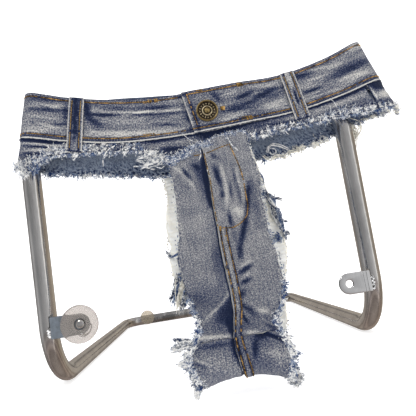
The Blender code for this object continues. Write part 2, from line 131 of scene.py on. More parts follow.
Section = namedtuple("Section", "y z left right")
CENTRE_LOOP = (
    Section(-0.0392, 0.2080, -0.0235, 0.0510),
    Section(-0.0428, 0.1900, -0.0215, 0.0535),
    Section(-0.0480, 0.1650, -0.0190, 0.0560),
    Section(-0.0555, 0.1400, -0.0195, 0.0545),
    Section(-0.0660, 0.1150, -0.0215, 0.0525),
    Section(-0.0800, 0.0900, -0.0230, 0.0540),
    Section(-0.0960, 0.0650, -0.0175, 0.0530),
    Section(-0.1065, 0.0490, -0.0165, 0.0435),
    Section(-0.1125, 0.0400, -0.0215, 0.0405),
    Section(-0.1172, 0.0285, -0.0275, 0.0465),
    Section(-0.1155, 0.0190, -0.0245, 0.0485),
    Section(-0.1040, 0.0135, -0.0200, 0.0480),
    Section(-0.0880, 0.0220, -0.0190, 0.0490),
    Section(-0.0790, 0.0340, -0.0190, 0.0500),
    Section(-0.0650, 0.0520, -0.0220, 0.0540),
    Section(-0.0475, 0.0780, -0.0270, 0.0630),
    Section(-0.0345, 0.1030, -0.0300, 0.0690),
    Section(-0.0220, 0.1320, -0.0290, 0.0680),
    Section(-0.0100, 0.1640, -0.0265, 0.0630),
    Section(-0.0045, 0.1815, -0.0280, 0.0600),
)
FOLD_ROW = 11
KNOTS = 5
CROTCH_ROW = 7.86
LAST_ROW = len(CENTRE_LOOP) - 1

# a place across the band and how far the torn cloth hangs below the band there
LEFT_STRIP = ((-0.925, -0.77, -0.56, -0.36, -0.24, -0.05), (0.0255, 0.0145, 0.0085, 0.0085, 0.020, 0.022))
RIGHT_STRIP = (
    (-0.05, 0.13, 0.22, 0.39, 0.60, 0.72, 0.84),
    (0.022, 0.0165, 0.0145, 0.0135, 0.0165, 0.0205, 0.0250),
)
RIGHT_SIDE = ((0.842, 0.92, 1.0), (0.0250, 0.0285, 0.0300))
BACK_STRIP = (
    (-0.925, -0.82, -0.60, -0.40, -0.27, 0.0, 0.27, 0.43, 0.64, 0.81, 1.0),
    (0.022, 0.028, 0.0335, 0.0395, 0.0435, 0.041, 0.039, 0.038, 0.035, 0.029, 0.025),
)

# where the fly edge and the centre seam run: row of the loop, place across it
SEAM_ROWS = (0.0, 0.87, 1.6, 2.5, 3.3, 3.75, 5.1, 6.0, 7.0, 8.0, 9.0, 11.0, 19.0)
SEAM_PLACES = (0.445, 0.44, 0.424, 0.412, 0.430, 0.450, 0.452, 0.418, 0.440, 0.478, 0.492, 0.470, 0.470)

# Crease: a line on the cloth, its half width and how high it stands, all in millimetres, and its tone
# along it: plus is lighter, worn cloth; minus is darker cloth, partly unfaded indigo and partly painted
# shade in the fold. Bands and strips count x from the middle of the waist and y down from the top edge
# or the band; centre panels count x and z.
Crease = namedtuple("Crease", "x0 y0 x1 y1 width height tone")
BUTTON_END_CREASES = (
    Crease(-162, -11, -122, -8, 1.2, 0.3, 0.50),
    Crease(-161, -15, -122, -12, 1.4, -0.4, -0.80),
    Crease(-136, -26, -122, -24, 1.3, -0.3, -0.80),
    Crease(-163, -6, -124, -3, 2.2, 0.0, -0.65),
    Crease(-160, -22, -129, -19, 2.5, 0.2, 0.25),
    Crease(-159, -33, -129, -29, 3.0, 0.3, 0.45),
    Crease(-106, -4, -104, -17, 3.0, -0.2, -1.00),
    Crease(-125, -6, -124, -22, 2.4, 0.0, -0.60),
    Crease(-102, -11, -17, -15, 1.1, 0.5, 0.80),
    Crease(-104, -14, -75, -14, 1.5, -0.5, -1.05),
    Crease(-75, -13, -18, -18, 1.2, -0.4, -0.80),
    Crease(-105, -17, -91, -26, 3.6, -0.1, -0.75),
    Crease(-46, -25, -17, -31, 1.4, -0.3, -0.60),
    Crease(-102, -30, -21, -36, 3.2, 0.3, 0.75),
    Crease(-107, -6, -17, -11, 2.2, 0.0, -0.50),
    Crease(-93, -20, -49, -22, 2.2, 0.1, 0.15),
    Crease(-17, -14, -12, -34, 3.0, -0.3, -0.70),
)
BUTTONHOLE_END_CREASES = (
    Crease(10, -5, 17, -16, 3.0, -0.1, -0.70),
    Crease(30, -16, 47, -12, 1.8, -0.3, -1.00),
    Crease(48, -18, 69, -12, 2.4, -0.2, -0.90),
    Crease(19, -25, 50, -24, 3.0, -0.1, -0.60),
    Crease(12, -35, 36, -30, 3.0, 0.3, 0.55),
    Crease(50, -29, 77, -26, 3.6, 0.2, 0.50),
    Crease(19, -10, 32, -9, 2.0, 0.2, 0.35),
    Crease(51, -9, 76, -7, 2.0, 0.2, 0.35),
    Crease(-11, -12, -8, -32, 2.2, 0.0, -0.60),
    Crease(88, -7, 106, -8, 3.0, -0.1, -0.90),
    Crease(94, -4, 141, -12, 2.0, 0.2, 0.60),
    Crease(90, -24, 110, -25, 1.3, -0.4, -1.25),
    Crease(117, -18, 168, -20, 3.4, -0.2, -0.75),
    Crease(149, -3, 168, -3, 3.0, 0.1, 0.70),
    Crease(129, -26, 160, -30, 2.6, 0.2, 0.60),
    Crease(86, -31, 143, -37, 2.5, 0.2, 0.40),
    Crease(100, -14, 130, -17, 1.2, 0.3, 0.40),
    Crease(84, -12, 88, -22, 1.6, 0.0, 0.40),
    Crease(22, -20, 74, -20, 11.0, 0.0, -0.22),
)
LEFT_PANEL_CREASES = (
    Crease(-9, 180, -3, 168, 1.5, -0.9, -1.40),
    Crease(-18, 184, -11, 175, 1.3, 0.5, 0.50),
    Crease(-8, 184, -1, 156, 1.5, 0.6, 0.50),
    Crease(-13, 183, -5, 164, 1.2, 0.5, 0.40),
    Crease(-1, 183, 6, 177, 1.6, -0.4, -0.80),
    # painted shadow down the left of the fly edge, where the placket stands over the left panel
    Crease(9.4, 186, 9.8, 142, 2.0, -1.2, -2.20),
    Crease(4, 188, 6, 150, 4.0, -0.3, -0.55),
    Crease(2, 150, -4, 113, 5.0, 0.4, 0.15),
    Crease(8, 112, 7, 72, 4.0, -0.4, -0.45),
    # a broad painted shade above the crotch, where the panel turns under
    Crease(-24, 73, 5, 65, 5.5, -2.2, -0.28),
    Crease(13, 71, 4, 63, 1.1, 0.6, 0.60),
    Crease(5, 64, -7, 56, 1.2, 0.7, 0.65),
    Crease(-7, 56, -17, 48, 1.1, 0.5, 0.45),
    Crease(11, 66, 7, 47, 3.0, -0.6, -1.10),
    Crease(6, 62, 0, 50, 4.0, -0.3, -0.85),
    Crease(6, 52, 8, 44, 1.6, -0.6, -1.30),
    Crease(-20, 44, 8, 42.5, 1.3, 0.6, 0.75),
    Crease(-13, 54, -14, 47, 2.0, -0.4, -0.40),
    Crease(-19, 150, -16, 100, 2.0, 0.3, 0.20),
)
RIGHT_PANEL_CREASES = (
    Crease(18, 190, 22, 185, 2.2, -0.2, -0.80),
    Crease(18.6, 178, 21.5, 158, 2.1, -0.4, -1.25),
    Crease(21.6, 154, 21, 147, 2.0, -0.3, -1.05),
    Crease(34.5, 176, 35, 155, 1.1, -0.4, -0.60),
    Crease(29.6, 159, 29, 146, 1.0, -0.4, -0.75),
    Crease(36.5, 158, 35.5, 140, 1.2, -0.5, -0.75),
    Crease(23.7, 133, 23.7, 122, 1.5, -0.4, -0.90),
    Crease(24.6, 178, 25.7, 157, 1.6, 0.6, 0.55),
    Crease(25.7, 158, 23.5, 138, 1.6, 0.6, 0.60),
    Crease(37, 174, 38.5, 140, 1.2, 0.3, 0.35),
    Crease(29, 137, 34.5, 130, 3.0, 0.3, 0.70),
    # the fold right of the placket's curved stitching: unfaded indigo with painted shade in it
    Crease(46, 158, 39, 130, 1.9, -1.0, -1.25),
    Crease(39, 131, 27, 103, 2.2, -1.0, -1.25),
    Crease(27, 104, 25, 93, 2.0, -0.6, -1.10),
    Crease(48, 158, 47, 118, 4.0, -0.2, -0.35),
    Crease(22, 83, 32, 87.5, 1.5, -0.8, -1.20),
    Crease(23, 86.5, 33, 91, 1.2, 0.5, 0.45),
    Crease(22, 75.5, 29, 78, 1.6, -0.7, -1.20),
    Crease(23, 79, 30, 82, 1.1, 0.5, 0.40),
    Crease(18, 61, 27, 53, 1.9, -0.6, -1.05),
    Crease(17, 55, 20, 48, 0.8, -0.7, -1.50),
    Crease(18, 66, 23, 70, 2.2, -0.4, -0.85),
    Crease(28, 56, 37, 53, 1.8, 0.6, 0.65),
    Crease(20, 58, 30, 52, 1.0, 0.4, 0.35),
    Crease(16, 43, 26, 41.8, 1.2, 0.6, 0.80),
    Crease(27, 46, 39, 36, 3.2, 2.0, 0.15),
    Crease(30, 49.5, 41, 41, 0.9, 0.2, 0.60),
    Crease(31, 47, 41, 41, 2.4, 0.6, -0.55),
    Crease(24, 128, 25, 108, 2.2, -0.3, -0.45),
)
SEAT_CREASES = (
    Crease(27, 46, 39, 35, 3.2, 2.0, 0.15),
    Crease(26, 42.0, 30, 40.5, 1.6, -1.0, -1.60),
    Crease(29, 41.0, 42, 34.0, 0.9, -1.2, -2.20),
    Crease(31, 33, 41, 18, 6.0, 0.3, 0.30),
    Crease(-12, 34, 2, 20, 5.0, 0.2, 0.20),
    Crease(24, 41, 29, 38.5, 2.0, -0.5, -1.10),
    Crease(23, 39, 20, 27, 1.8, -0.3, -0.90),
    Crease(7, 42, 7.6, 29, 2.0, -0.4, -1.00),
    Crease(9.6, 40, 12.2, 13, 0.8, -1.1, -2.40),
    Crease(7.4, 38, 9.8, 16, 0.8, 0.4, 0.60),
    Crease(-21, 32.5, -11, 27, 1.1, 0.5, 0.45),
    Crease(-21, 30, -13, 25.5, 0.9, -0.4, -0.45),
    Crease(-20, 38.5, 7, 37.5, 1.6, -0.5, -0.50),
    Crease(25, 30, 44, 24, 2.2, 0.4, 0.20),
)
LINING_CREASES = (
    # the two darkest rows are small dark spots: painted shade where the cloth has holes
    Crease(66, 147, 67, 141, 0.9, -0.3, -1.60),
    Crease(62, 107, 64, 105, 1.3, -0.3, -1.60),
    Crease(64, 150, 66, 116, 3.0, -0.4, -0.25),
    Crease(66, 132, 61, 122, 1.2, -0.4, -0.35),
    Crease(60, 144, 58, 128, 1.0, 0.6, 0.20),
    Crease(62, 116, 70, 112, 1.2, 0.6, 0.15),
    Crease(-32, 168, -30, 120, 1.6, 0.5, 0.10),
    Crease(-28, 160, -29, 130, 0.9, -0.5, -0.20),
)
STRIP_CREASES = (
    Crease(-160, -5, -124, -4.5, 1.2, 0.6, 0.70),
    Crease(-160, -2.2, -126, -2, 1.4, -0.5, -1.70),
    Crease(-160, -7.6, -128, -6.8, 1.0, -0.7, -1.50),
    Crease(-160, -12, -134, -10, 1.4, 0.7, 0.50),
    Crease(-160, -15, -142, -13, 1.1, -0.6, -1.10),
    Crease(-150, -9.6, -132, -9, 1.0, 0.6, 0.75),
    Crease(-105, -2, -20, -2.5, 1.4, -0.2, -0.40),
    Crease(-50, -6, -20, -11, 1.4, 0.5, 0.35),
    Crease(-42, -10, -22, -12, 2.8, -0.5, -1.20),
    Crease(-8, -3.5, 26, -5, 4.0, 0.0, -1.70),
    Crease(30, -4, 70, -5, 3.0, 0.0, -0.70),
    Crease(46, -4, 76, -5, 1.2, 0.5, 0.45),
    Crease(50, -7, 78, -8, 1.0, -0.4, -0.55),
    Crease(92, -5, 140, -7, 2.8, 0.4, 0.35),
    Crease(88, -1, 146, -1.5, 1.4, -0.3, -0.90),
    Crease(100, -9, 140, -11, 1.2, -0.5, -0.45),
    Crease(152, -4.5, 172, -5, 3.4, -0.3, -2.10),
    Crease(147.2, -0.5, 148.4, -17, 1.0, -0.8, -2.60),
    Crease(149.8, -2, 151.2, -17, 0.7, 0.3, 1.10),
    Crease(152, -14, 174, -16, 3.5, 0.3, 0.85),
)


# ---------------------------------------------------------------- sizes and colours to change
def length_setting(label, description, default):
    """A length in metres."""
    return bpy.props.FloatProperty(
        name=label,
        description=description,
        default=default,
        min=0.0,
        subtype="DISTANCE",
        unit="LENGTH",
        precision=5,
    )


def colour_setting(label, description, default):
    """A linear colour."""
    return bpy.props.FloatVectorProperty(
        name=label, description=description, default=default, size=3, min=0.0, max=1.0, subtype="COLOR"
    )


class ShortsSizes(bpy.types.PropertyGroup):
    """Sizes of the garment and its stand."""

    tube_radius: length_setting("Tube radius", "Outer radius of the stand's tube", 0.0085)
    band_wall: length_setting("Band wall", "Thickness of the doubled waistband", 0.0024)
    denim_wall: length_setting("Denim wall", "Thickness of single torn denim", 0.0014)
    lining_wall: length_setting("Lining wall", "Thickness of the cotton lining", 0.0010)
    loop_wall: length_setting("Belt loop wall", "Thickness of a belt loop", 0.0018)
    loop_width: length_setting("Belt loop width", "Width of a belt loop", 0.0135)
    button_radius: length_setting("Button radius", "Outer radius of the shank button", 0.0102)
    bumper_radius: length_setting("Bumper radius", "Outer radius of the clear bumper", 0.0170)
    stitch_pitch: length_setting("Stitch pitch", "Distance from one stitch to the next", 0.0024)
    stitch_radius: length_setting("Stitch radius", "Radius of the topstitching thread", 0.00053)
    fray_radius: length_setting("Fray radius", "Radius of a loose thread", 0.00034)


class ShortsColours(bpy.types.PropertyGroup):
    """Colours of the garment, its stand and the studio."""

    faded: colour_setting("Faded denim", "Washed face of the denim", (0.190, 0.197, 0.222))
    worn: colour_setting("Worn denim", "White threads where the blue is gone", (0.62, 0.605, 0.57))
    indigo: colour_setting("Indigo", "Unfaded blue in creases", (0.008, 0.021, 0.078))
    # the wrong side is set lighter than its own slate: painted light standing in for light reaching inside
    # the waist
    inside: colour_setting("Inside", "Slate wrong side of the denim", (0.25, 0.30, 0.385))
    cotton: colour_setting("Lining cotton", "Cream lining", (0.98, 0.945, 0.845))
    thread: colour_setting("Topstitching", "Gold topstitching thread", (0.27, 0.165, 0.055))
    brass: colour_setting("Button brass", "Antique brass", (0.46, 0.34, 0.15))
    steel: colour_setting("Steel", "Polished steel tube", (0.78, 0.765, 0.75))
    rubber: colour_setting("Bumper", "Clear beige rubber", (0.56, 0.52, 0.49))
    floor: colour_setting("Floor", "Pale studio floor", (0.80, 0.80, 0.80))


# ---------------------------------------------------------------- smooth shapes
def eased(amount):
    """Smooth step from 0 to 1 of an array."""
    amount = np.clip(amount, 0.0, 1.0)
    return amount * amount * (3.0 - 2.0 * amount)


def hump(place, middle, width):
    """A soft bump of height 1 over middle."""
    return np.exp(-(((place - middle) / width) ** 2))


def smooth_row(values, position):
    """Catmull-Rom reading of a row of numbers at fractional positions."""
    values = np.asarray(values, float)
    last = len(values) - 1
    index = np.clip(position.astype(int), 0, last - 1)
    t = position - index
    a, b = values[np.maximum(index - 1, 0)], values[index]
    c, d = values[index + 1], values[np.minimum(index + 2, last)]
    cubic = (3.0 * b - a - 3.0 * c + d) * t**3
    return 0.5 * (2.0 * b + (c - a) * t + (2.0 * a - 5.0 * b + 4.0 * c - d) * t**2 + cubic)


def waist(across, drop, back=False, below=0.0, out=0.0, folded=True):
    """Points on the waist: across -1 to 1, drop 0 to 1 down the band, below in metres under it."""
    across = np.asarray(across, float)
    drop, below = drop + np.zeros_like(across), below + np.zeros_like(across)
    down = drop + below / WAISTLINE.height[MIDDLE_STATION]
    half = HALF_TOP + FLARE * down
    straight = half - FOLD_RADIUS
    path = np.abs(across) * (straight + FOLD_RADIUS * math.pi / 2.0)
    side = np.where(across < 0.0, -1.0, 1.0)
    turned = (path > straight) & folded
    angle = np.where(turned, (path - straight) / FOLD_RADIUS, 0.0)
    reach = np.where(turned, straight + FOLD_RADIUS * np.sin(angle), path)
    bulge = (BACK_BULGE if back else FRONT_BULGE) * np.clip(1.0 - (path / straight) ** 2, 0.0, None)
    offset = np.where(turned, FOLD_RADIUS * np.cos(angle), FOLD_RADIUS + bulge)
    place = side * reach / half
    position = np.clip((place + 1.0) * MIDDLE_STATION, 0.0, 2.0 * MIDDLE_STATION)
    top = smooth_row(WAISTLINE.back_top if back else WAISTLINE.front_top, position)
    facing = 1.0 if back else -1.0
    x = CENTRE_X + side * (reach + out * np.sin(angle)) + BAND_LEAN * eased((across + 0.5) / 0.8) * down
    y = MIDDLE_Y + facing * (offset + out * np.cos(angle)) - HANG_LEAN * below * (1.0 - place**2)
    z = top - smooth_row(WAISTLINE.height, position) * drop - below
    return np.stack([x, y, z], -1)


def loop(row, across, out=0.0):
    """Points on the centre loop: row counts CENTRE_LOOP, across 0 at its left edge to 1."""

    def bare(row, across):
        left = smooth_row([s.left for s in CENTRE_LOOP], row)
        right = smooth_row([s.right for s in CENTRE_LOOP], row)
        y = smooth_row([s.y for s in CENTRE_LOOP], row)
        z = smooth_row([s.z for s in CENTRE_LOOP], row)
        spread = (across - SPLIT_ACROSS) / 0.5
        near = eased(1.0 - np.abs(row - FOLD_ROW) / CORNER_REACH)
        corner = np.clip(spread, 0.0, None) ** 2 * near
        droop = CORNER_DROOP * spread**2 * near + RIGHT_CORNER_DROOP * corner
        y = y - RIGHT_CORNER_FORWARD * corner
        return np.stack([left + (right - left) * across, y, z - droop], -1)

    row, across = np.broadcast_arrays(np.asarray(row, float), np.asarray(across, float))
    points = bare(row, across)
    step = 0.02
    along = bare(np.maximum(row - step, 0.0), across) - bare(np.minimum(row + step, LAST_ROW), across)
    sideways = bare(row, across + step) - bare(row, across - step)
    normal = np.cross(sideways, along)
    return points + normal / np.linalg.norm(normal, axis=-1, keepdims=True) * out


def lap_lift(across):
    """How far the buttonhole end stands off over the button end."""
    gone = eased((across - UNDERLAP_END) / (OVERLAP_FADE_END - UNDERLAP_END))
    return (BAND_WALL + GAP) * (1.0 - gone)


def rough(points, size, seed):
    """Smooth noise of about -1 to 1 at each point."""
    return np.array([noise.noise(Vector((x / size + seed, y / size, seed))) for x, y in points]) * 1.6


def creased(chart, creases):
    """Height and tone that a table of creases gives at each chart point."""
    height, tone = np.zeros(len(chart)), np.zeros(len(chart))
    for crease in creases:
        start = MM * np.array([crease.x0, crease.y0])
        run = MM * np.array([crease.x1, crease.y1]) - start
        t = np.clip((chart - start) @ run / (run @ run), 0.0, 1.0)
        away = np.linalg.norm(chart - start - t[:, None] * run, axis=1)
        taper = np.sqrt(np.clip(4.0 * t * (1.0 - t), 0.15, 1.0))
        amount = hump(away, 0.0, crease.width * MM) * taper
        height += crease.height * MM * amount
        tone += crease.tone * amount
    return height, tone


def streaks(seed, count, x_range, tone):
    """Fine sideways streaks of wash on a waistband, as more Crease rows."""
    dice = np.random.default_rng(seed)
    rows = []
    for _ in range(count):
        x, y = dice.uniform(*x_range), dice.uniform(-36.0, -4.0)
        run, slant = dice.uniform(8.0, 34.0), dice.normal(0.0, 0.6)
        width, depth = dice.uniform(0.5, 1.3), dice.uniform(-tone, tone)
        rows.append(Crease(x - run / 2, y - slant, x + run / 2, y + slant, width, 0.2 * depth, depth))
    return tuple(rows)


# ---------------------------------------------------------------- materials
def new_material(name):
    """An empty Principled material: the material, its tree and its shader."""
    material = bpy.data.materials.new(name)
    material.use_nodes = True
    return material, material.node_tree, material.node_tree.nodes["Principled BSDF"]


def add_node(tree, kind, **values):
    """A node whose named settings and inputs are given as keywords; a socket value is linked."""
    made = tree.nodes.new(kind)
    for key, value in values.items():
        if hasattr(made, key) and key not in made.inputs:
            setattr(made, key, value)
            continue
        target = made.inputs[int(key[1:])] if key[0] == "_" else made.inputs[key.replace("_", " ")]
        if isinstance(value, bpy.types.NodeSocket):
            tree.links.new(value, target)
        else:
            target.default_value = value
    return made


def maths(tree, operation, first, second):
    """One arithmetic step."""
    return add_node(tree, "ShaderNodeMath", operation=operation, _0=first, _1=second).outputs[0]


def grain(tree, coordinates, scale, detail, roughness=0.6, seed=0.0):
    """Noise on coordinates scaled by (x, y, z) per metre, centred on 0."""
    spread = add_node(
        tree, "ShaderNodeMapping", Vector=coordinates, Scale=scale, Location=(seed, seed * 0.7, 0.0)
    )
    field = add_node(
        tree,
        "ShaderNodeTexNoise",
        Vector=spread.outputs[0],
        Scale=1.0,
        Detail=detail,
        Roughness=roughness,
    )
    return maths(tree, "SUBTRACT", field.outputs[0], 0.5)


def weighted_sum(tree, terms, start=0.0):
    """start plus each (value, weight)."""
    total = start
    for value, weight in terms:
        part = maths(tree, "MULTIPLY", value, weight)
        total = maths(tree, "ADD", part, total)
    return total


def ramp(tree, value, stops):
    """Colour ramp from (position, colour) stops."""
    made = add_node(tree, "ShaderNodeValToRGB", Fac=value)
    band = made.color_ramp
    band.elements[0].position, band.elements[0].color = stops[0][0], (*stops[0][1], 1.0)
    band.elements[1].position, band.elements[1].color = stops[-1][0], (*stops[-1][1], 1.0)
    for position, colour in stops[1:-1]:
        element = band.elements.new(position)
        element.color = (*colour, 1.0)
    return made.outputs[0]


def bump(tree, shader, height, distance, strength=1.0):
    """Bump from a height value, in metres."""
    made = add_node(tree, "ShaderNodeBump", Height=height, Distance=distance, Strength=strength)
    tree.links.new(made.outputs[0], shader.inputs["Normal"])


def attribute(tree, name, output):
    """A named attribute of the piece."""
    return add_node(tree, "ShaderNodeAttribute", attribute_name=name).outputs[output]


def shade(colour, amount):
    """A colour made lighter or darker."""
    return tuple(min(1.0, channel * amount) for channel in colour)


def blend(first, second, share):
    """A colour between two others."""
    return tuple(a + (b - a) * share for a, b in zip(first, second))


def set_inputs(shader, **values):
    """Set a shader's plain inputs; an underscore stands for a space."""
    for key, value in values.items():
        shader.inputs[key.replace("_", " ")].default_value = value


def colour_by(tree, shader, amount, stops):
    """Colour a shader by a ramp over an amount."""
    tree.links.new(ramp(tree, amount, stops), shader.inputs["Base Color"])


def object_place(tree):
    """Coordinates fixed to the piece, in metres."""
    return add_node(tree, "ShaderNodeTexCoord").outputs["Object"]


def denim_material(name, face, worn, indigo, warp_down=False, speckle=1.0, fineness=800.0):
    """Washed twill: speckled grain, slubs along the warp, clouds of fading and a tone attribute, which
    carries wash, wear and painted shade.
    """
    material, tree, shader = new_material(name)
    weave = attribute(tree, "weave", "Vector")
    tone = attribute(tree, "tone", "Fac")
    fine = grain(tree, weave, (fineness, fineness, 1.0), 2.0, 0.7)
    coarse = grain(tree, weave, (520.0, 520.0, 1.0), 1.0, 0.5, 3.0)
    slub_scale = (900.0, 70.0, 1.0) if warp_down else (70.0, 900.0, 1.0)
    slub = grain(tree, weave, slub_scale, 1.0, 0.5, 7.0)
    cloud = grain(tree, weave, (55.0, 75.0, 1.0), 2.0, 0.5, 11.0)
    parts = (
        (tone, 0.56),
        (fine, 1.90 * speckle),
        (coarse, 0.35 * speckle),
        (slub, 0.35 * speckle),
        (cloud, 0.34),
    )
    # the darkest stop, half the indigo, gives the painted shade of the deepest folds that the tone attribute
    # carries
    stops = (
        (0.0, shade(indigo, 0.5)),
        (0.2, blend(indigo, face, 0.12)),
        (0.4, blend(indigo, face, 0.50)),
        (0.55, face),
        (0.72, blend(face, worn, 0.38)),
        (1.0, worn),
    )
    colour_by(tree, shader, weighted_sum(tree, parts, 0.5), stops)
    slanted = add_node(tree, "ShaderNodeMapping", Vector=weave, Rotation=(0.0, 0.0, 1.1)).outputs[0]
    twill = add_node(tree, "ShaderNodeTexWave", Vector=slanted, Scale=420.0, Distortion=1.5).outputs[1]
    bump(tree, shader, weighted_sum(tree, ((fine, 0.9), (coarse, 0.6), (twill, 0.35))), 0.0007, 0.8)
    set_inputs(shader, Roughness=0.92, Specular_IOR_Level=0.15, Sheen_Weight=0.12)
    return material


def cotton_material(name, colour):
    """Ribbed cotton: fine ribs across the cloth, darker where its bumps sink."""
    material, tree, shader = new_material(name)
    weave = attribute(tree, "weave", "Vector")
    tone = attribute(tree, "tone", "Fac")
    wave = {"bands_direction": "Y", "Scale": 75.0, "Distortion": 2.2, "Detail": 1.0}
    rib = add_node(tree, "ShaderNodeTexWave", Vector=weave, **wave).outputs[1]
    fine = grain(tree, weave, (600.0, 600.0, 1.0), 2.0)
    darker_where_sunk = grain(tree, weave, (90.0, 60.0, 1.0), 2.0, 0.6, 4.0)
    amount = weighted_sum(tree, ((rib, 0.08), (fine, 0.5), (darker_where_sunk, 0.5), (tone, 0.5)), 0.84)
    lights = ((0.0, 0.28), (0.4, 0.72), (0.7, 1.0), (1.0, 1.15))
    stops = tuple((at, shade(colour, light)) for at, light in lights)
    colour_by(tree, shader, amount, stops)
    bump(tree, shader, weighted_sum(tree, ((rib, 0.35), (fine, 0.6), (darker_where_sunk, 1.5))), 0.0008)
    set_inputs(shader, Roughness=0.95, Specular_IOR_Level=0.1)
    return material


def thread_material(name, stops, size):
    """Loose or sewn thread whose colour wanders from place to place."""
    material, tree, shader = new_material(name)
    place = object_place(tree)
    wander = grain(tree, place, (1.0 / size,) * 3, 2.0, 0.7, 5.0)
    colour_by(tree, shader, weighted_sum(tree, ((wander, 2.2),), 0.5), stops)
    bump(tree, shader, grain(tree, place, (2600.0,) * 3, 1.0), 0.0002)
    set_inputs(shader, Roughness=0.9, Specular_IOR_Level=0.15)
    return material


def steel_material(name, colour):
    """Polished tube: faint draw lines and clouded patches in the polish, and painted shade that darkens it
    towards the rear rail.
    """
    material, tree, shader = new_material(name)
    place = object_place(tree)
    cloud = grain(tree, place, (34.0, 34.0, 20.0), 3.0, 0.6)
    fine = grain(tree, place, (900.0, 900.0, 60.0), 2.0, 0.6, 2.0)
    depth = add_node(tree, "ShaderNodeSeparateXYZ", _0=place).outputs[1]
    # painted shade: the steel is darkened towards the rear rail, which stands in shade
    far = add_node(tree, "ShaderNodeMapRange", _0=depth, _1=0.24, _2=0.285).outputs[0]
    lights = ((0.0, 0.36), (0.2, 0.78), (0.55, 1.0), (0.9, 1.12))
    stops = tuple((at, shade(colour, light)) for at, light in lights)
    colour_by(tree, shader, weighted_sum(tree, ((cloud, 1.4), (fine, 0.5), (far, -0.42)), 0.5), stops)
    gloss = weighted_sum(tree, ((cloud, 0.18), (fine, 0.10)), 0.16)
    tree.links.new(gloss, shader.inputs["Roughness"])
    bump(tree, shader, weighted_sum(tree, ((cloud, 1.0), (fine, 0.12))), 0.0006, 0.6)
    set_inputs(shader, Metallic=1.0)
    return material


def clouded_material(name, colour, size, detail, roughness, weight, lights, **inputs):
    """One colour that clouds from light to dark; lights holds (position, how light) stops."""
    material, tree, shader = new_material(name)
    cloud = grain(tree, object_place(tree), (1.0 / size,) * 3, detail, roughness)
    stops = tuple((at, shade(colour, light)) for at, light in lights)
    colour_by(tree, shader, weighted_sum(tree, ((cloud, weight),), 0.5), stops)
    set_inputs(shader, **inputs)
    return material, tree, shader, cloud


def brass_material(name, colour, darkness):
    """Antique brass, darker in its hollows."""
    lights = ((0.1, 0.25 * darkness), (0.5, 0.8 * darkness), (0.9, 1.3 * darkness))
    made = clouded_material(name, colour, 1.0 / 420.0, 3.0, 0.6, 2.0, lights, Metallic=0.85, Roughness=0.38)
    material, tree, shader, cloud = made
    bump(tree, shader, cloud, 0.0003, 0.5)
    return material


def shaded_dull_material(name, colour):
    """Dull, darker metal: a shaded copy of the steel, painted shade for the left tab's face."""
    gloss = {"Metallic": 0.25, "Roughness": 0.42, "Specular_IOR_Level": 0.35}
    return clouded_material(name, colour, 1.0 / 260.0, 2.0, 0.6, 1.4, ((0.2, 0.85), (0.8, 1.2)), **gloss)[0]


def rubber_material(name, colour):
    """Clear rubber with faint clouding."""
    gloss = {"Roughness": 0.06, "Transmission_Weight": 0.72, "IOR": 1.24, "Coat_Weight": 0.2}
    made = clouded_material(name, colour, 1.0 / 160.0, 2.0, 0.5, 1.0, ((0.2, 0.94), (0.8, 1.03)), **gloss)
    material, tree, shader, cloud = made
    bump(tree, shader, cloud, 0.0003, 0.3)
    return material


FINISHES = {}
TREES = {}
TO_THE_SIDES = (0.7, 0.0)


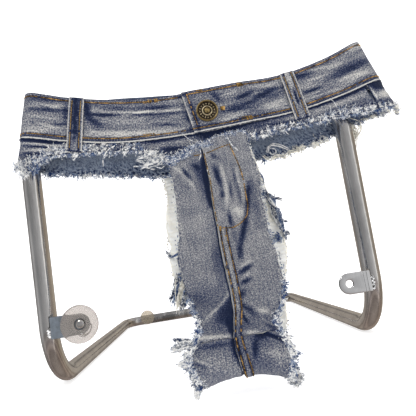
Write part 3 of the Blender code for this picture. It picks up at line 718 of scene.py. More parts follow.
def make_finishes(colours):
    """Make every shared finish from the colour settings."""
    faded, worn, indigo = tuple(colours.faded), tuple(colours.worn), tuple(colours.indigo)
    inside, cotton, thread = tuple(colours.inside), tuple(colours.cotton), tuple(colours.thread)
    steel, rubber = tuple(colours.steel), tuple(colours.rubber)
    white = (0.88, 0.87, 0.85)
    FINISHES.update(
        washed_denim=denim_material("washed_denim", faded, worn, indigo),
        panel_denim=denim_material("panel_denim", faded, worn, indigo, True, 0.95, 1100.0),
        denim_inside=denim_material("denim_inside", inside, shade(worn, 0.5), indigo, False, 0.45),
        cotton=cotton_material("lining_cotton", cotton),
        steel=steel_material("polished_steel", steel),
        # shaded and lit copies of the steel, as painted light: the dark copy paints shade on the tabs' rims
        # and scored lines, the white copy paints a highlight on the right tab's face, and the duller darker
        # copy paints shade on the left tab's face
        dark_steel=steel_material("dark_steel", shade(steel, 0.16)),
        bright_steel=steel_material("bright_steel", (1.0, 1.0, 1.0)),
        dull_steel=shaded_dull_material("dull_steel", (0.165, 0.190, 0.220)),
        brass=brass_material("antique_brass", tuple(colours.brass), 1.0),
        brass_hollow=brass_material("antique_brass_hollow", (0.11, 0.085, 0.06), 0.5),
        brass_bright=brass_material("antique_brass_bright", (0.62, 0.52, 0.33), 1.2),
        rubber=rubber_material("clear_rubber", rubber),
        amber_rubber=rubber_material("amber_rubber", (rubber[0] * 0.92, rubber[1] * 0.88, rubber[2] * 0.76)),
    )
    # thread finishes: the colours they wander through and how far apart the changes are
    threads_in = {
        "cut_edge": (((0.3, indigo), (0.6, faded), (0.95, white)), 0.0025),
        "gold_thread": (((0.25, shade(thread, 0.25)), (0.52, thread), (0.8, shade(thread, 2.1))), 0.006),
        "brown_thread": (
            ((0.25, shade(thread, 0.12)), (0.50, shade(thread, 0.55)), (0.78, shade(thread, 1.6))),
            0.0035,
        ),
        "pale_thread": (((0.25, shade(thread, 0.4)), (0.55, (0.30, 0.21, 0.09))), 0.0025),
        "white_fray": (((0.2, (0.16, 0.19, 0.26)), (0.38, (0.52, 0.54, 0.57)), (0.58, white)), 0.0025),
        "blue_fray": (
            ((0.2, shade(indigo, 1.8)), (0.48, (0.105, 0.150, 0.26)), (0.8, (0.40, 0.46, 0.56))),
            0.0025,
        ),
        "mixed_fray": (
            ((0.3, indigo), (0.45, (0.10, 0.13, 0.20)), (0.58, (0.45, 0.47, 0.5)), (0.75, white)),
            0.0018,
        ),
        "cream_fray": (((0.25, shade(cotton, 0.5)), (0.6, cotton)), 0.0025),
        # the weld's black and white stops are painted shade and painted glints on the beads
        "weld": (((0.32, (0.03, 0.03, 0.03)), (0.48, (0.4, 0.4, 0.4)), (0.62, (1.0, 1.0, 1.0))), 0.0015),
    }
    for name, (stops, size) in threads_in.items():
        FINISHES[name] = thread_material(name, stops, size)


# ---------------------------------------------------------------- making pieces
def link_piece(name, data, materials, slot, nodes=()):
    """Put a finished piece in the scene, on the part's one body."""
    piece = bpy.data.objects.new(name, data)
    for material in materials:
        data.materials.append(FINISHES[material])
    bpy.context.scene.collection.objects.link(piece)
    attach(piece, "root")
    if nodes:
        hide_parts(*nodes)
    return piece


def cloth(name, cells, surface, wall, materials, slot, relief, rounded=0.0, crowd=(0.0, 0.7)):
    """A sheet on surface(u, v), u to the right and v up as seen from outside.

    surface gives points, weave lengths and chart places. relief gives height and tone. crowd
    gathers the cells towards the edges in u and v. The sheet gets its wall inwards.
    """
    mesh = bpy.data.meshes.new(name)
    form = bmesh.new()
    bmesh.ops.create_grid(form, x_segments=cells[0], y_segments=cells[1], size=0.5)
    form.to_mesh(mesh)
    form.free()
    corners = np.empty(len(mesh.vertices) * 3, np.float32)
    mesh.vertices.foreach_get("co", corners)
    u, v = corners[0::3] + 0.5, corners[1::3] + 0.5
    u = np.clip(u - crowd[0] * np.sin(math.tau * u) / math.tau, 0.0, 1.0)
    v = np.clip(v - crowd[1] * np.sin(math.tau * v) / math.tau, 0.0, 1.0)
    points, weave, chart = surface(u, v)
    points = points + SHIFT
    mesh.vertices.foreach_set("co", points.astype(np.float32).ravel())
    mesh.update()
    area = sum(face.area for face in mesh.polygons)
    height, tone = relief(chart, u, v)
    normals = np.empty(len(mesh.vertices) * 3, np.float32)
    mesh.vertices.foreach_get("normal", normals)
    points = points + normals.reshape(-1, 3) * height[:, None]
    mesh.vertices.foreach_set("co", points.astype(np.float32).ravel())
    woven = mesh.attributes.new("weave", "FLOAT_VECTOR", "POINT")
    woven.data.foreach_set("vector", np.column_stack([weave, np.zeros(len(u))]).astype(np.float32).ravel())
    toned = mesh.attributes.new("tone", "FLOAT", "POINT")
    toned.data.foreach_set("value", tone.astype(np.float32))
    mesh.update()
    mesh.shade_smooth()
    corners = [vertex.co.copy() for vertex in mesh.vertices]
    TREES[name] = BVHTree.FromPolygons(corners, [tuple(face.vertices) for face in mesh.polygons])
    piece = link_piece(name + "_cloth", mesh, materials, slot, (name,))
    thick = piece.modifiers.new("wall", "SOLIDIFY")
    thick.thickness = wall
    thick.offset = -1.0
    thick.material_offset = 1
    thick.material_offset_rim = 2
    if rounded:
        edge = piece.modifiers.new("rounded", "BEVEL")
        edge.width = rounded
        edge.segments = 2
        edge.limit_method = "ANGLE"
        edge.angle_limit = math.radians(50.0)
    width = float(np.ptp(weave[:, 0]))
    flat = (width, float(max(np.ptp(weave[:, 1]), area / width)))


def threads(name, lines, radii, material, slot, sides=0):
    """Thin round threads, one for each line of points, as one curve piece."""
    curve = bpy.data.curves.new(name, "CURVE")
    curve.dimensions = "3D"
    curve.bevel_depth = 1.0
    curve.bevel_resolution = sides
    curve.use_fill_caps = True
    for line, radius in zip(lines, radii):
        spline = curve.splines.new("POLY")
        count = len(line)
        spline.points.add(count - 1)
        spline.points.foreach_set("co", np.column_stack([line, np.ones(count)]).astype(np.float32).ravel())
        spline.points.foreach_set("radius", np.broadcast_to(radius, (count,)).astype(np.float32))
    return link_piece(name, curve, (material,), slot)


def settle(points, name, out):
    """Points moved onto a finished cloth's face, out along its normal; also the normals."""
    tree = TREES[name]
    placed, normals = [], []
    for point in points:
        spot, normal, _, _ = tree.find_nearest(Vector(point))
        placed.append(spot + normal * out)
        normals.append(normal)
    return np.array(placed), np.array(normals)


def along_path(points, spacing):
    """Points along a path at even spacing."""
    steps = np.linalg.norm(np.diff(points, axis=0), axis=1)
    run = np.concatenate([[0.0], np.cumsum(steps)])
    marks = np.arange(0.0, run[-1], spacing)
    return np.column_stack([np.interp(marks, run, points[:, axis]) for axis in range(3)])


def stitches(lines, path, cloth_name, pitch, radius, keep, seed):
    """Add a row of stitches along a path on a cloth: each rises, runs and dives again."""
    dice = np.random.default_rng(seed)
    starts = along_path(path, pitch)
    for start, end in zip(starts, starts[1:]):
        if dice.random() > keep:
            continue
        marks = np.array([start + (end - start) * t for t in (0.04, 0.2, 0.62, 0.78)])
        placed, normals = settle(marks, cloth_name, 0.0)
        rise = np.array([-0.6, 0.75, 0.75, -0.6]) * radius * dice.uniform(0.85, 1.2)
        lines.append(placed + normals * rise[:, None])


def curls(bases, across, down, count, heading, spread, turn, reach, dice, lift):
    """Curly loose threads on a surface.

    Each leaves one of the base points at about heading (0 along across, pi/2 along down), turns
    by about turn radians over its length, and stands up to lift off the surface.
    """
    picks = dice.integers(0, len(bases), count)
    across = np.broadcast_to(across, bases.shape)[picks]
    down = np.broadcast_to(down, bases.shape)[picks]
    out = np.cross(across, down)
    out /= np.linalg.norm(out, axis=1, keepdims=True)
    steps = np.linspace(0.0, 1.0, KNOTS)
    ways = heading + dice.normal(0.0, spread, (count, 1)) + dice.normal(0.0, turn, (count, 1)) * steps
    length = dice.uniform(*reach, (count, 1)) * dice.choice([0.6, 0.85, 1.0, 1.3], (count, 1))
    side = np.cumsum(np.cos(ways), axis=1) * length / KNOTS
    fall = np.cumsum(np.sin(ways), axis=1) * length / KNOTS
    rise = dice.uniform(0.1, 1.0, (count, 1)) * lift * np.sin(math.pi * (0.15 + 0.85 * steps))
    lines = bases[picks][:, None, :] + across[:, None, :] * side[:, :, None]
    return list(lines + down[:, None, :] * fall[:, :, None] + out[:, None, :] * rise[:, :, None])


def lock(start, end, width, count, dice):
    """A lock of threads that hang together from start to end, narrowing to its tip."""
    start, end = np.asarray(start) + SHIFT, np.asarray(end) + SHIFT
    steps = np.linspace(0.0, 1.0, KNOTS)[:, None]
    lines = []
    for _ in range(count):
        root = dice.normal(0.0, width / 2.0, 3) * np.array([1.0, 0.3, 1.0])
        finish = 0.55 + 0.45 * dice.random()
        wave = dice.normal(0.0, width * 0.35, 3)
        line = start + (end - start) * steps * finish + root * (1.0 - 0.65 * steps)
        lines.append(line + wave * np.sin(math.pi * steps * dice.uniform(0.8, 2.2)))
    return lines


# ---------------------------------------------------------------- surfaces of the cloth pieces
def band_surface(stations, back=False, lapped=False):
    """Surface of one length of the waistband between stations (u, across)."""

    def surface(u, v):
        across = np.interp(u, stations[0], stations[1])
        if lapped:
            across = across - OVERLAP_SLANT * (1.0 - u) * (v - 0.5)
        lift = lap_lift(across) if lapped else 0.0
        points = waist(across, 1.0 - v, back, out=lift)
        place = np.column_stack([across * HALF_PATH, (v - 1.0) * BAND_HEIGHT])
        return points, place, place

    return surface


def band_relief(creases, seed, lapped=False):
    """Worn edges, sunk stitch rows and wash streaks of the waistband, with painted shade in the stitch rows
    and along the top edge.
    """

    def relief(chart, u, v):
        height, tone = creased(chart, creases)
        down = -chart[:, 1]
        low = BAND_HEIGHT - down
        ragged = rough(chart, 0.004, seed)
        height += 0.0002 * rough(chart, 0.012, seed + 3.0) - 0.0005 * hump(down, 0.0028, 0.0009)
        height += 0.0004 * hump(low, 0.0, 0.0018) - 0.0005 * hump(low, 0.0038, 0.0010)
        # the pale line at the bottom edge is wear; the dark lines beside and in the sunk stitch rows and
        # along the rolled top edge are painted shade
        tone += 1.6 * hump(low, 0.0005, 0.0005) * (0.9 + 0.3 * ragged)
        tone -= 0.9 * hump(low, 0.0020, 0.0006) + 0.9 * hump(low, 0.0042, 0.0011)
        tone -= 1.0 * hump(down, 0.0030, 0.0010) + 0.7 * hump(down, 0.0, 0.0008)
        if lapped:
            edge = u * HALF_PATH * 1.08
            # a pale worn line along the end, and painted shade in the end's sunk stitch row
            tone += 0.8 * hump(edge, 0.0, 0.0009) * (0.8 + 0.5 * ragged) - 0.6 * hump(edge, 0.0042, 0.0012)
            height -= 0.0004 * hump(edge, 0.0042, 0.0011)
        return height, tone

    return relief


def strip_surface(table, back=False, folded=True):
    """Surface of a torn strip that hangs from the band, with a ragged lower edge."""
    start, end = table[0][0] + 0.0015, table[0][-1] - 0.0015

    def surface(u, v):
        across = start + (end - start) * (1.0 - u if back else u)
        position = np.interp(across, table[0], np.arange(len(table[0]), dtype=float))
        depth = smooth_row(table[1], position)
        edge = np.column_stack([across * HALF_PATH, np.zeros(len(u))])
        depth = depth + 0.0010 * rough(edge, 0.0045, 2.0) + 0.0007 * rough(edge, 0.0016, 5.0)
        below = depth + (GAP - depth) * v
        points = waist(across, 1.0, back, below=below, out=-2.0 * GAP, folded=(across > 0.0) & folded)
        place = np.column_stack([across * HALF_PATH, -below])
        return points, place, place

    return surface


def strip_relief(seed, back=False):
    """Folds of a torn strip, the mottled, mostly darker cloth beside its torn edge, and a painted shadow
    along its top under the band.
    """

    def relief(chart, u, v):
        height, tone = creased(chart, () if back else STRIP_CREASES)
        height += 0.0006 * rough(chart, 0.011, seed) + 0.0003 * rough(chart, 0.004, seed + 1.0)
        torn = v * STRIP_REACH
        fluff = rough(chart, 0.0016, seed + 4.0)
        tone += (0.9 * fluff - (0.2 if back else 0.75)) * hump(torn, 0.0, 0.0052)
        height += 0.0004 * fluff * hump(torn, 0.0, 0.004)
        # painted shadow along the strip's top, under the waistband
        tone -= 1.3 * hump(STRIP_REACH - torn, 0.0, 0.0016)
        return height, tone

    return relief


def loop_surface(rows, sides, out, ragged, top_edge=None):
    """Surface of one panel of the centre loop between two rows and two side lines."""

    def surface(u, v):
        first = np.interp(u, *top_edge) if top_edge else rows[0]
        row = rows[1] + (first - rows[1]) * v
        left, right = sides(row)
        wiggle = np.column_stack([row * 0.012, np.zeros(len(u))])
        left = left + ragged[0] * (rough(wiggle, 0.010, 1.0) + 0.5 * rough(wiggle, 0.003, 3.0))
        right = right + ragged[1] * (rough(wiggle, 0.010, 6.0) + 0.5 * rough(wiggle, 0.003, 8.0))
        points = loop(row, left + (right - left) * u, out)
        marks = loop(np.linspace(0.0, LAST_ROW, 200), np.full(200, 0.5))
        run = np.concatenate([[0.0], np.cumsum(np.linalg.norm(np.diff(marks, axis=0), axis=1))])
        length = np.interp(row, np.linspace(0.0, LAST_ROW, 200), run)
        return points, np.column_stack([points[:, 0], -length]), points[:, [0, 2]]

    return surface


# how far the cloth is torn back from the fringe, as a share of the loop's width, by row
TORN_LEFT = (
    (5.6, 6.2, 6.9, 7.4, 7.86, 8.2, 9.0, 10.0, 10.5, 11.0, 11.6, 13.0, 14.0, 14.4, 14.9),
    (0.0, 0.02, 0.045, 0.07, 0.05, 0.03, 0.065, 0.075, 0.07, 0.06, 0.04, 0.05, 0.16, 0.10, 0.0),
)
TORN_RIGHT = (
    (5.4, 6.2, 7.0, 7.6, 8.1, 9.0, 9.5, 10.0, 10.5, 11.0, 11.6, 12.4),
    (0.0, 0.05, 0.08, 0.03, 0.0, 0.05, 0.07, 0.09, 0.10, 0.09, 0.05, 0.0),
)


def torn_place(row, side):
    """Where the cloth's torn edge crosses a row, at the left (-1) or the right (1)."""
    back = np.interp(row, *(TORN_LEFT if side < 0 else TORN_RIGHT))
    return back if side < 0 else 1.0 - back


def lining_place(row, side):
    """Where the lining's torn edge crosses a row."""
    torn = np.interp(row, (13.0, 13.6, 14.0, 14.4, 14.9), (0.03, 0.07, 0.14, 0.08, -0.02))
    return torn if side < 0 else np.full_like(row, 1.02)


def seam_place(row):
    """Where the fly edge or centre seam crosses a row."""
    return np.interp(row, SEAM_ROWS, SEAM_PLACES)


# heights on a centre panel, and how much its tone lightens from the lowest up to the highest
TONE_HEIGHTS = (0.045, 0.06, 0.10)
RIGHT_TONE_BY_HEIGHT = (-0.24, 0.02, 0.10)
LEFT_TONE_BY_HEIGHT = (-0.12, -0.05, 0.04)
# the felled seam beside the fly: its top, its width and where its two stitch rows run
FELLED_TOP = 0.1215
FELLED_WIDTH = 0.0082
FELLED_ROWS = (0.0018, 0.0070)


def panel_relief(creases, seed, seam_side, width):
    """Folds of a centre panel, its fluffy torn side and, on the right, the felled seam with painted shade in
    its stitch rows; on the left, a painted shadow beside the fly.
    """

    def relief(chart, u, v):
        height, tone = creased(chart, creases)
        height += 0.0007 * rough(chart, 0.016, seed) + 0.0002 * rough(chart, 0.004, seed + 2.0)
        tone += np.interp(chart[:, 1], TONE_HEIGHTS, RIGHT_TONE_BY_HEIGHT if seam_side < 0 else LEFT_TONE_BY_HEIGHT)
        from_seam = (u if seam_side < 0 else 1.0 - u) * width
        tone += 0.7 * rough(chart, 0.0017, seed + 5.0) * hump(width - from_seam, 0.0, 0.0022)
        if seam_side < 0:
            felled = 1.0 * (chart[:, 1] < FELLED_TOP)
            rise = eased(from_seam / 0.0012) * eased((FELLED_WIDTH - from_seam) / 0.0015)
            height += 0.0009 * felled * rise + 0.0005 * (1.0 - felled) * eased(from_seam / 0.001)
            rows = sum(hump(from_seam, row, 0.0008) for row in FELLED_ROWS)
            height -= 0.0003 * rows * felled
            # painted shade in the felled seam's two sunk stitch rows
            tone += felled * (0.10 * rise - 1.1 * rows) + 0.6 * hump(from_seam, 0.0, 0.0005)
        else:
            height -= 0.0009 * hump(from_seam, 0.0, 0.0018)
            # painted shadow beside the fly, where the placket stands over the left panel
            tone -= 1.4 * hump(from_seam, 0.0, 0.0012)
        return height, tone

    return relief


# ---------------------------------------------------------------- operators
class SHORTS_OT_finishes(bpy.types.Operator):
    """Make the shared finishes from the colour settings"""

    bl_idname = "shorts.finishes"
    bl_label = "Finishes"

    def execute(self, context):
        make_finishes(context.scene.shorts_colours)
        return {"FINISHED"}


def stand_path(radius):
    """The closed line of the stand's tube, with its bends as fine arcs."""
    rise = TOP_RAIL_HEIGHT - radius
    top_half, top_y = FRONT_HALF_WIDTH - UPRIGHT_TOE_IN * rise, -UPRIGHT_LEAN * rise
    corners = (
        ((-FRONT_HALF_WIDTH, 0.0, radius), LOWER_BEND),
        ((-top_half, top_y, TOP_RAIL_HEIGHT), TOP_BEND),
        ((top_half, top_y, TOP_RAIL_HEIGHT), TOP_BEND),
        ((FRONT_HALF_WIDTH, 0.0, radius), LOWER_BEND),
        ((REAR_HALF_WIDTH, BASE_DEPTH, radius), REAR_BEND),
        ((-REAR_HALF_WIDTH, BASE_DEPTH, radius), REAR_BEND),
    )
    points = []
    for index, (corner, bend) in enumerate(corners):
        here = Vector(corner)
        before, after = Vector(corners[index - 1][0]), Vector(corners[(index + 1) % len(corners)][0])
        towards, away = (before - here).normalized(), (after - here).normalized()
        half = towards.angle(away) / 2.0
        centre = here + (towards + away).normalized() * (bend / math.sin(half))
        start = here + towards * (bend / math.tan(half)) - centre
        end = here + away * (bend / math.tan(half)) - centre
        sweep = start.angle(end)
        for step in range(BEND_STEPS + 1):
            t = step / BEND_STEPS
            low, high = math.sin((1.0 - t) * sweep), math.sin(t * sweep)
            points.append(centre + (start * low + end * high) / math.sin(sweep))
    return points


class SHORTS_OT_stand_tube(bpy.types.Operator):
    """Sweep the stand's polished tube round its closed line in one piece"""

    bl_idname = "shorts.stand_tube"
    bl_label = "Stand tube"

    def execute(self, context):
        radius = context.scene.shorts_sizes.tube_radius
        points = [np.array(point) + SHIFT for point in stand_path(radius)]
        curve = bpy.data.curves.new("stand_tube", "CURVE")
        curve.dimensions = "3D"
        curve.twist_mode = "MINIMUM"
        curve.bevel_depth = radius
        curve.bevel_resolution = 10
        spline = curve.splines.new("POLY")
        spline.use_cyclic_u = True
        spline.points.add(len(points) - 1)
        for knot, point in zip(spline.points, points):
            knot.co = (*point, 1.0)
        starts = ("bend_", "upright_", "side_rail_", "top_rail", "rear_rail")
        tubes = [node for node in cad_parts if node.startswith(starts)]
        link_piece("stand_tube", curve, ("steel",), "polished_steel", tubes)
        return {"FINISHED"}


class SHORTS_OT_waistband(bpy.types.Operator):
    """Lay the three lengths of the waistband round the waist"""

    bl_idname = "shorts.waistband"
    bl_label = "Waistband"

    def execute(self, context):
        wall = context.scene.shorts_sizes.band_wall
        skins = ("washed_denim", "denim_inside", "cut_edge")
        end, turn = 0.997, FOLD_STARTS
        left = BUTTON_END_CREASES + streaks(3, 90, (-170.0, 20.0), 0.35)
        right = BUTTONHOLE_END_CREASES + streaks(5, 90, (-20.0, 170.0), 0.35)
        back = streaks(7, 120, (-170.0, 170.0), 0.5)
        button_end = band_surface(((0.0, 0.25, 1.0), (-end, -turn, UNDERLAP_END)))
        buttonhole_end = band_surface(((0.0, 0.8, 1.0), (OVERLAP_START, turn, end)), lapped=True)
        back_length = band_surface(((0.0, 0.15, 0.85, 1.0), (end, turn, -turn, -end)), back=True)
        for name, cells, surface, relief in (
            ("waistband_button_end", (230, 60), button_end, band_relief(left, 1.0)),
            ("waistband_buttonhole_end", (220, 60), buttonhole_end, band_relief(right, 2.0, True)),
            ("waistband_back", (280, 30), back_length, band_relief(back, 4.0)),
        ):
            cloth(name, cells, surface, wall, skins, "washed_denim", relief, rounded=0.0005)
        return {"FINISHED"}


class SHORTS_OT_strips(bpy.types.Operator):
    """Hang the torn strips from the waistband"""

    bl_idname = "shorts.strips"
    bl_label = "Torn strips"

    def execute(self, context):
        wall = context.scene.shorts_sizes.denim_wall
        skins = ("washed_denim", "denim_inside", "cut_edge")
        for name, cells, surface, relief in (
            ("front_strip_left", (170, 22), strip_surface(LEFT_STRIP, folded=False), strip_relief(1.0)),
            ("front_strip_right", (170, 20), strip_surface(RIGHT_STRIP), strip_relief(2.0)),
            ("side_strip_right", (34, 22), strip_surface(RIGHT_SIDE), strip_relief(3.0)),
            ("back_strip", (330, 30), strip_surface(BACK_STRIP, back=True), strip_relief(4.0, True)),
        ):
            slot = "denim_inside" if name == "back_strip" else "washed_denim"
            cloth(name, cells, surface, wall, skins, slot, relief)
        return {"FINISHED"}


class SHORTS_OT_centre_panels(bpy.types.Operator):
    """Lay the centre panels down the front, round the fold and up the back"""

    bl_idname = "shorts.centre_panels"
    bl_label = "Centre panels"

    def execute(self, context):
        wall = context.scene.shorts_sizes.denim_wall
        skins = ("panel_denim", "denim_inside", "cut_edge")
        half_gap = 0.003

        def left_side(row):
            return torn_place(row, -1), seam_place(row) - half_gap

        def right_side(row):
            return seam_place(row) + half_gap, torn_place(row, 1)

        left_top = ((0.0, 0.3, 0.6, 1.0), (1.02, 0.84, 0.66, 0.38))
        right_top = ((0.0, 0.35, 0.7, 1.0), (0.44, 0.26, 0.04, 0.10))
        front, seat = (0.0, CROTCH_ROW), (CROTCH_ROW + 0.03, LAST_ROW)
        left_relief = (LEFT_PANEL_CREASES, 1.0, 1, 0.034)
        right_relief = (RIGHT_PANEL_CREASES, 2.0, -1, 0.042)
        for name, cells, rows, side, ragged, top, relief in (
            ("front_panel_left", (38, 190), front, -1, 0.012, left_top, left_relief),
            ("front_panel_right", (46, 190), front, 1, 0.012, right_top, right_relief),
            ("seat_panel_left", (40, 210), seat, -1, 0.014, None, (SEAT_CREASES, 3.0, 1, 0.036)),
            ("seat_panel_right", (46, 210), seat, 1, 0.014, None, (SEAT_CREASES, 4.0, -1, 0.040)),
        ):
            sides, torn = (left_side, (ragged, 0.0)) if side < 0 else (right_side, (0.0, ragged))
            surface = loop_surface(rows, sides, 0.0, torn, top)
            relief = panel_relief(*relief)
            cloth(name, cells, surface, wall, skins, "washed_denim", relief, crowd=TO_THE_SIDES)
        return {"FINISHED"}


class SHORTS_OT_lining(bpy.types.Operator):
    """Lay the cream lining inside the seat"""

    bl_idname = "shorts.lining"
    bl_label = "Lining"

    def execute(self, context):
        sizes = context.scene.shorts_sizes

        def sides(row):
            return lining_place(row, -1), lining_place(row, 1)

        def relief(chart, u, v):
            height, tone = creased(chart, LINING_CREASES)
            height += 0.0008 * rough(chart, 0.010, 2.0) + 0.0005 * rough(chart, 0.0035, 6.0)
            edge = np.minimum(u, 1.0 - u) * 0.09
            return height, tone - 0.3 * hump(edge, 0.0, 0.001) + 0.12 * rough(chart, 0.006, 9.0)

        surface = loop_surface((13.0, LAST_ROW), sides, -(sizes.denim_wall + GAP), (0.016, 0.018))
        wall, skins = sizes.lining_wall, ("cotton", "cotton", "cotton")
        cloth("seat_lining", (80, 130), surface, wall, skins, "cream_cotton", relief, crowd=(0.0, 0.0))
        return {"FINISHED"}


# each belt loop: its name, where its top and its bottom cross the band, whether it is at the back,
# and how dark it is down its middle
BELT_LOOPS = (
    ("belt_loop_front_left", -0.650, -0.6545, False, 1.6),
    ("belt_loop_front_right", 0.480, 0.462, False, -0.5),
    ("belt_loop_back_left", -0.62, -0.62, True, 0.8),
    ("belt_loop_back_middle", 0.0, 0.0, True, 0.8),
    ("belt_loop_back_right", 0.62, 0.62, True, 0.8),
)
BELT_LOOP_LENGTH = 0.049
BELT_LOOP_DROP = 1.235


def belt_loop_surface(sizes, number, top, bottom, back):
    """Surface of one belt loop, which runs from the band's top to below its lower edge."""
    width = sizes.loop_width

    def surface(u, v):
        side = (u - 0.5) * width * (-1.0 if back else 1.0)
        across = bottom + (top - bottom) * v + side / HALF_PATH
        stand_off = sizes.loop_wall + GAP + 0.0006 * np.sqrt(np.clip(np.sin(math.pi * v), 0.0, 1.0))
        if not back:
            stand_off = stand_off + lap_lift(across) * (across > 0.0)
        points = waist(across, BELT_LOOP_DROP * (1.0 - v), back, out=stand_off)
        place = np.column_stack([(u - 0.5) * width, (v - 1.0) * BELT_LOOP_LENGTH])
        return points, place + np.array([0.3 + 0.1 * number, 0.0]), place

    return surface


def belt_loop_relief(number, half, ink):
    """Rolled, worn edges of a belt loop, the ink down its middle, and painted shade in the stitch grooves and
    at its lower end.
    """

    def relief(chart, u, v):
        side = half - np.abs(chart[:, 0])
        height = 0.0002 * rough(chart, 0.004, number + 0.5)
        height -= 0.0004 * hump(side, 0.0, 0.0008) + 0.0003 * hump(side, 0.0028, 0.0008)
        ragged = rough(chart, 0.003, number + 9.0)
        # the pale rim is wear; the dark line beside it is painted shade in the stitch groove
        tone = 1.15 * hump(side, 0.0003, 0.00045) * (0.9 + 0.3 * ragged) - 1.1 * hump(side, 0.0030, 0.0008)
        tone -= ink * hump(side, half, 0.0024) * (0.9 + 0.5 * ragged) * eased((v - 0.08) / 0.35)
        if ink < 0.5:
            tone -= 2.0 * hump(v, 0.45, 0.16) * hump(chart[:, 0], 0.0004, 0.0012)
        # painted shadow at the loop's lower end
        tone -= 1.6 * hump(v * BELT_LOOP_LENGTH, 0.0, 0.0008)
        return height, tone

    return relief


class SHORTS_OT_belt_loops(bpy.types.Operator):
    """Sew the belt loops over the waistband"""

    bl_idname = "shorts.belt_loops"
    bl_label = "Belt loops"

    def execute(self, context):
        sizes = context.scene.shorts_sizes
        skins = ("washed_denim", "washed_denim", "cut_edge")
        finish = {"rounded": 0.0004, "crowd": TO_THE_SIDES}
        for number, (name, top, bottom, back, ink) in enumerate(BELT_LOOPS):
            surface = belt_loop_surface(sizes, number, top, bottom, back)
            relief = belt_loop_relief(number, sizes.loop_width / 2.0, ink)
            cloth(name, (26, 60), surface, sizes.loop_wall * 0.8, skins, "washed_denim", relief, **finish)
        return {"FINISHED"}


def path_on_band(acrosses, drops, back=False):
    """A fine path on the band through (across, drop) stations."""
    t = np.linspace(0.0, 1.0, 240)
    marks = np.linspace(0.0, 1.0, len(acrosses))
    return waist(np.interp(t, marks, acrosses), np.interp(t, marks, drops), back) + SHIFT


def path_on_loop(rows, places):
    """A fine path on the centre loop through (row, across) stations."""
    t = np.linspace(0.0, 1.0, 240)
    marks = np.linspace(0.0, 1.0, len(rows))
    return loop(np.interp(t, marks, rows), np.interp(t, marks, places)) + SHIFT


# how far down the band its two stitch rows run
BAND_ROWS = (0.072, 0.895)
# the rows of the loop that the seams' stitches follow
FELL_ROWS, SEAT_ROWS = np.linspace(3.85, 7.8, 9), np.linspace(7.92, 18.9, 24)
FLY_ROWS = np.linspace(0.95, 3.75, 8)
# stitches beside the seams: the panel, rows of the loop, distance from the seam, thickness, share kept, seed
SEAM_STITCHES = (
    ("front_panel_right", FELL_ROWS, 0.024, 0.9, 0.97, 51),
    ("front_panel_right", FELL_ROWS, 0.086, 0.9, 0.97, 51),
    ("seat_panel_right", SEAT_ROWS, 0.026, 0.9, 0.97, 53),
    ("seat_panel_right", SEAT_ROWS, 0.086, 0.9, 0.97, 53),
    ("front_panel_right", FLY_ROWS, 0.014, 0.8, 0.95, 55),
)
# the placket's curved row and the short rows above the panels: rows and places on the loop
FLY_STITCHES = (
    (
        "front_panel_right",
        (0.67, 1.6, 2.55, 3.1, 3.46, 3.68, 3.80, 3.80),
        (0.773, 0.805, 0.813, 0.821, 0.797, 0.730, 0.640, 0.470),
        1.0, 0.97, 57,
    ),
    ("front_panel_right", (0.96, 0.82, 0.68), (0.474, 0.62, 0.785), 0.9, 0.9, 59),
    ("front_panel_left", (0.98, 0.98), (0.16, 0.42), 0.7, 0.8, 61),
)
# bartacks on the band: across, drop, length along it, height, the length of band they are on
BAND_BARTACKS = (
    (0.091, 0.555, 0.0, 0.0036, "waistband_buttonhole_end"),
    (-0.001, 0.05, 0.006, 0.0012, "waistband_buttonhole_end"),
    (0.219, 0.06, 0.005, 0.0012, "waistband_buttonhole_end"),
    (-0.265, 0.075, 0.013, 0.0008, "waistband_button_end"),
    (-0.290, 0.892, 0.010, 0.0008, "waistband_button_end"),
    (0.190, 0.892, 0.012, 0.0007, "waistband_buttonhole_end"),
)
# bartacks on the fly: row and place on the loop, height, half width
FLY_BARTACKS = ((3.62, 0.462, 0.0075, 0.0012), (3.90, 0.535, 0.0012, 0.0006))
# a bartack's points start this far in Y from its middle and are then set down on the cloth
AHEAD = -0.01


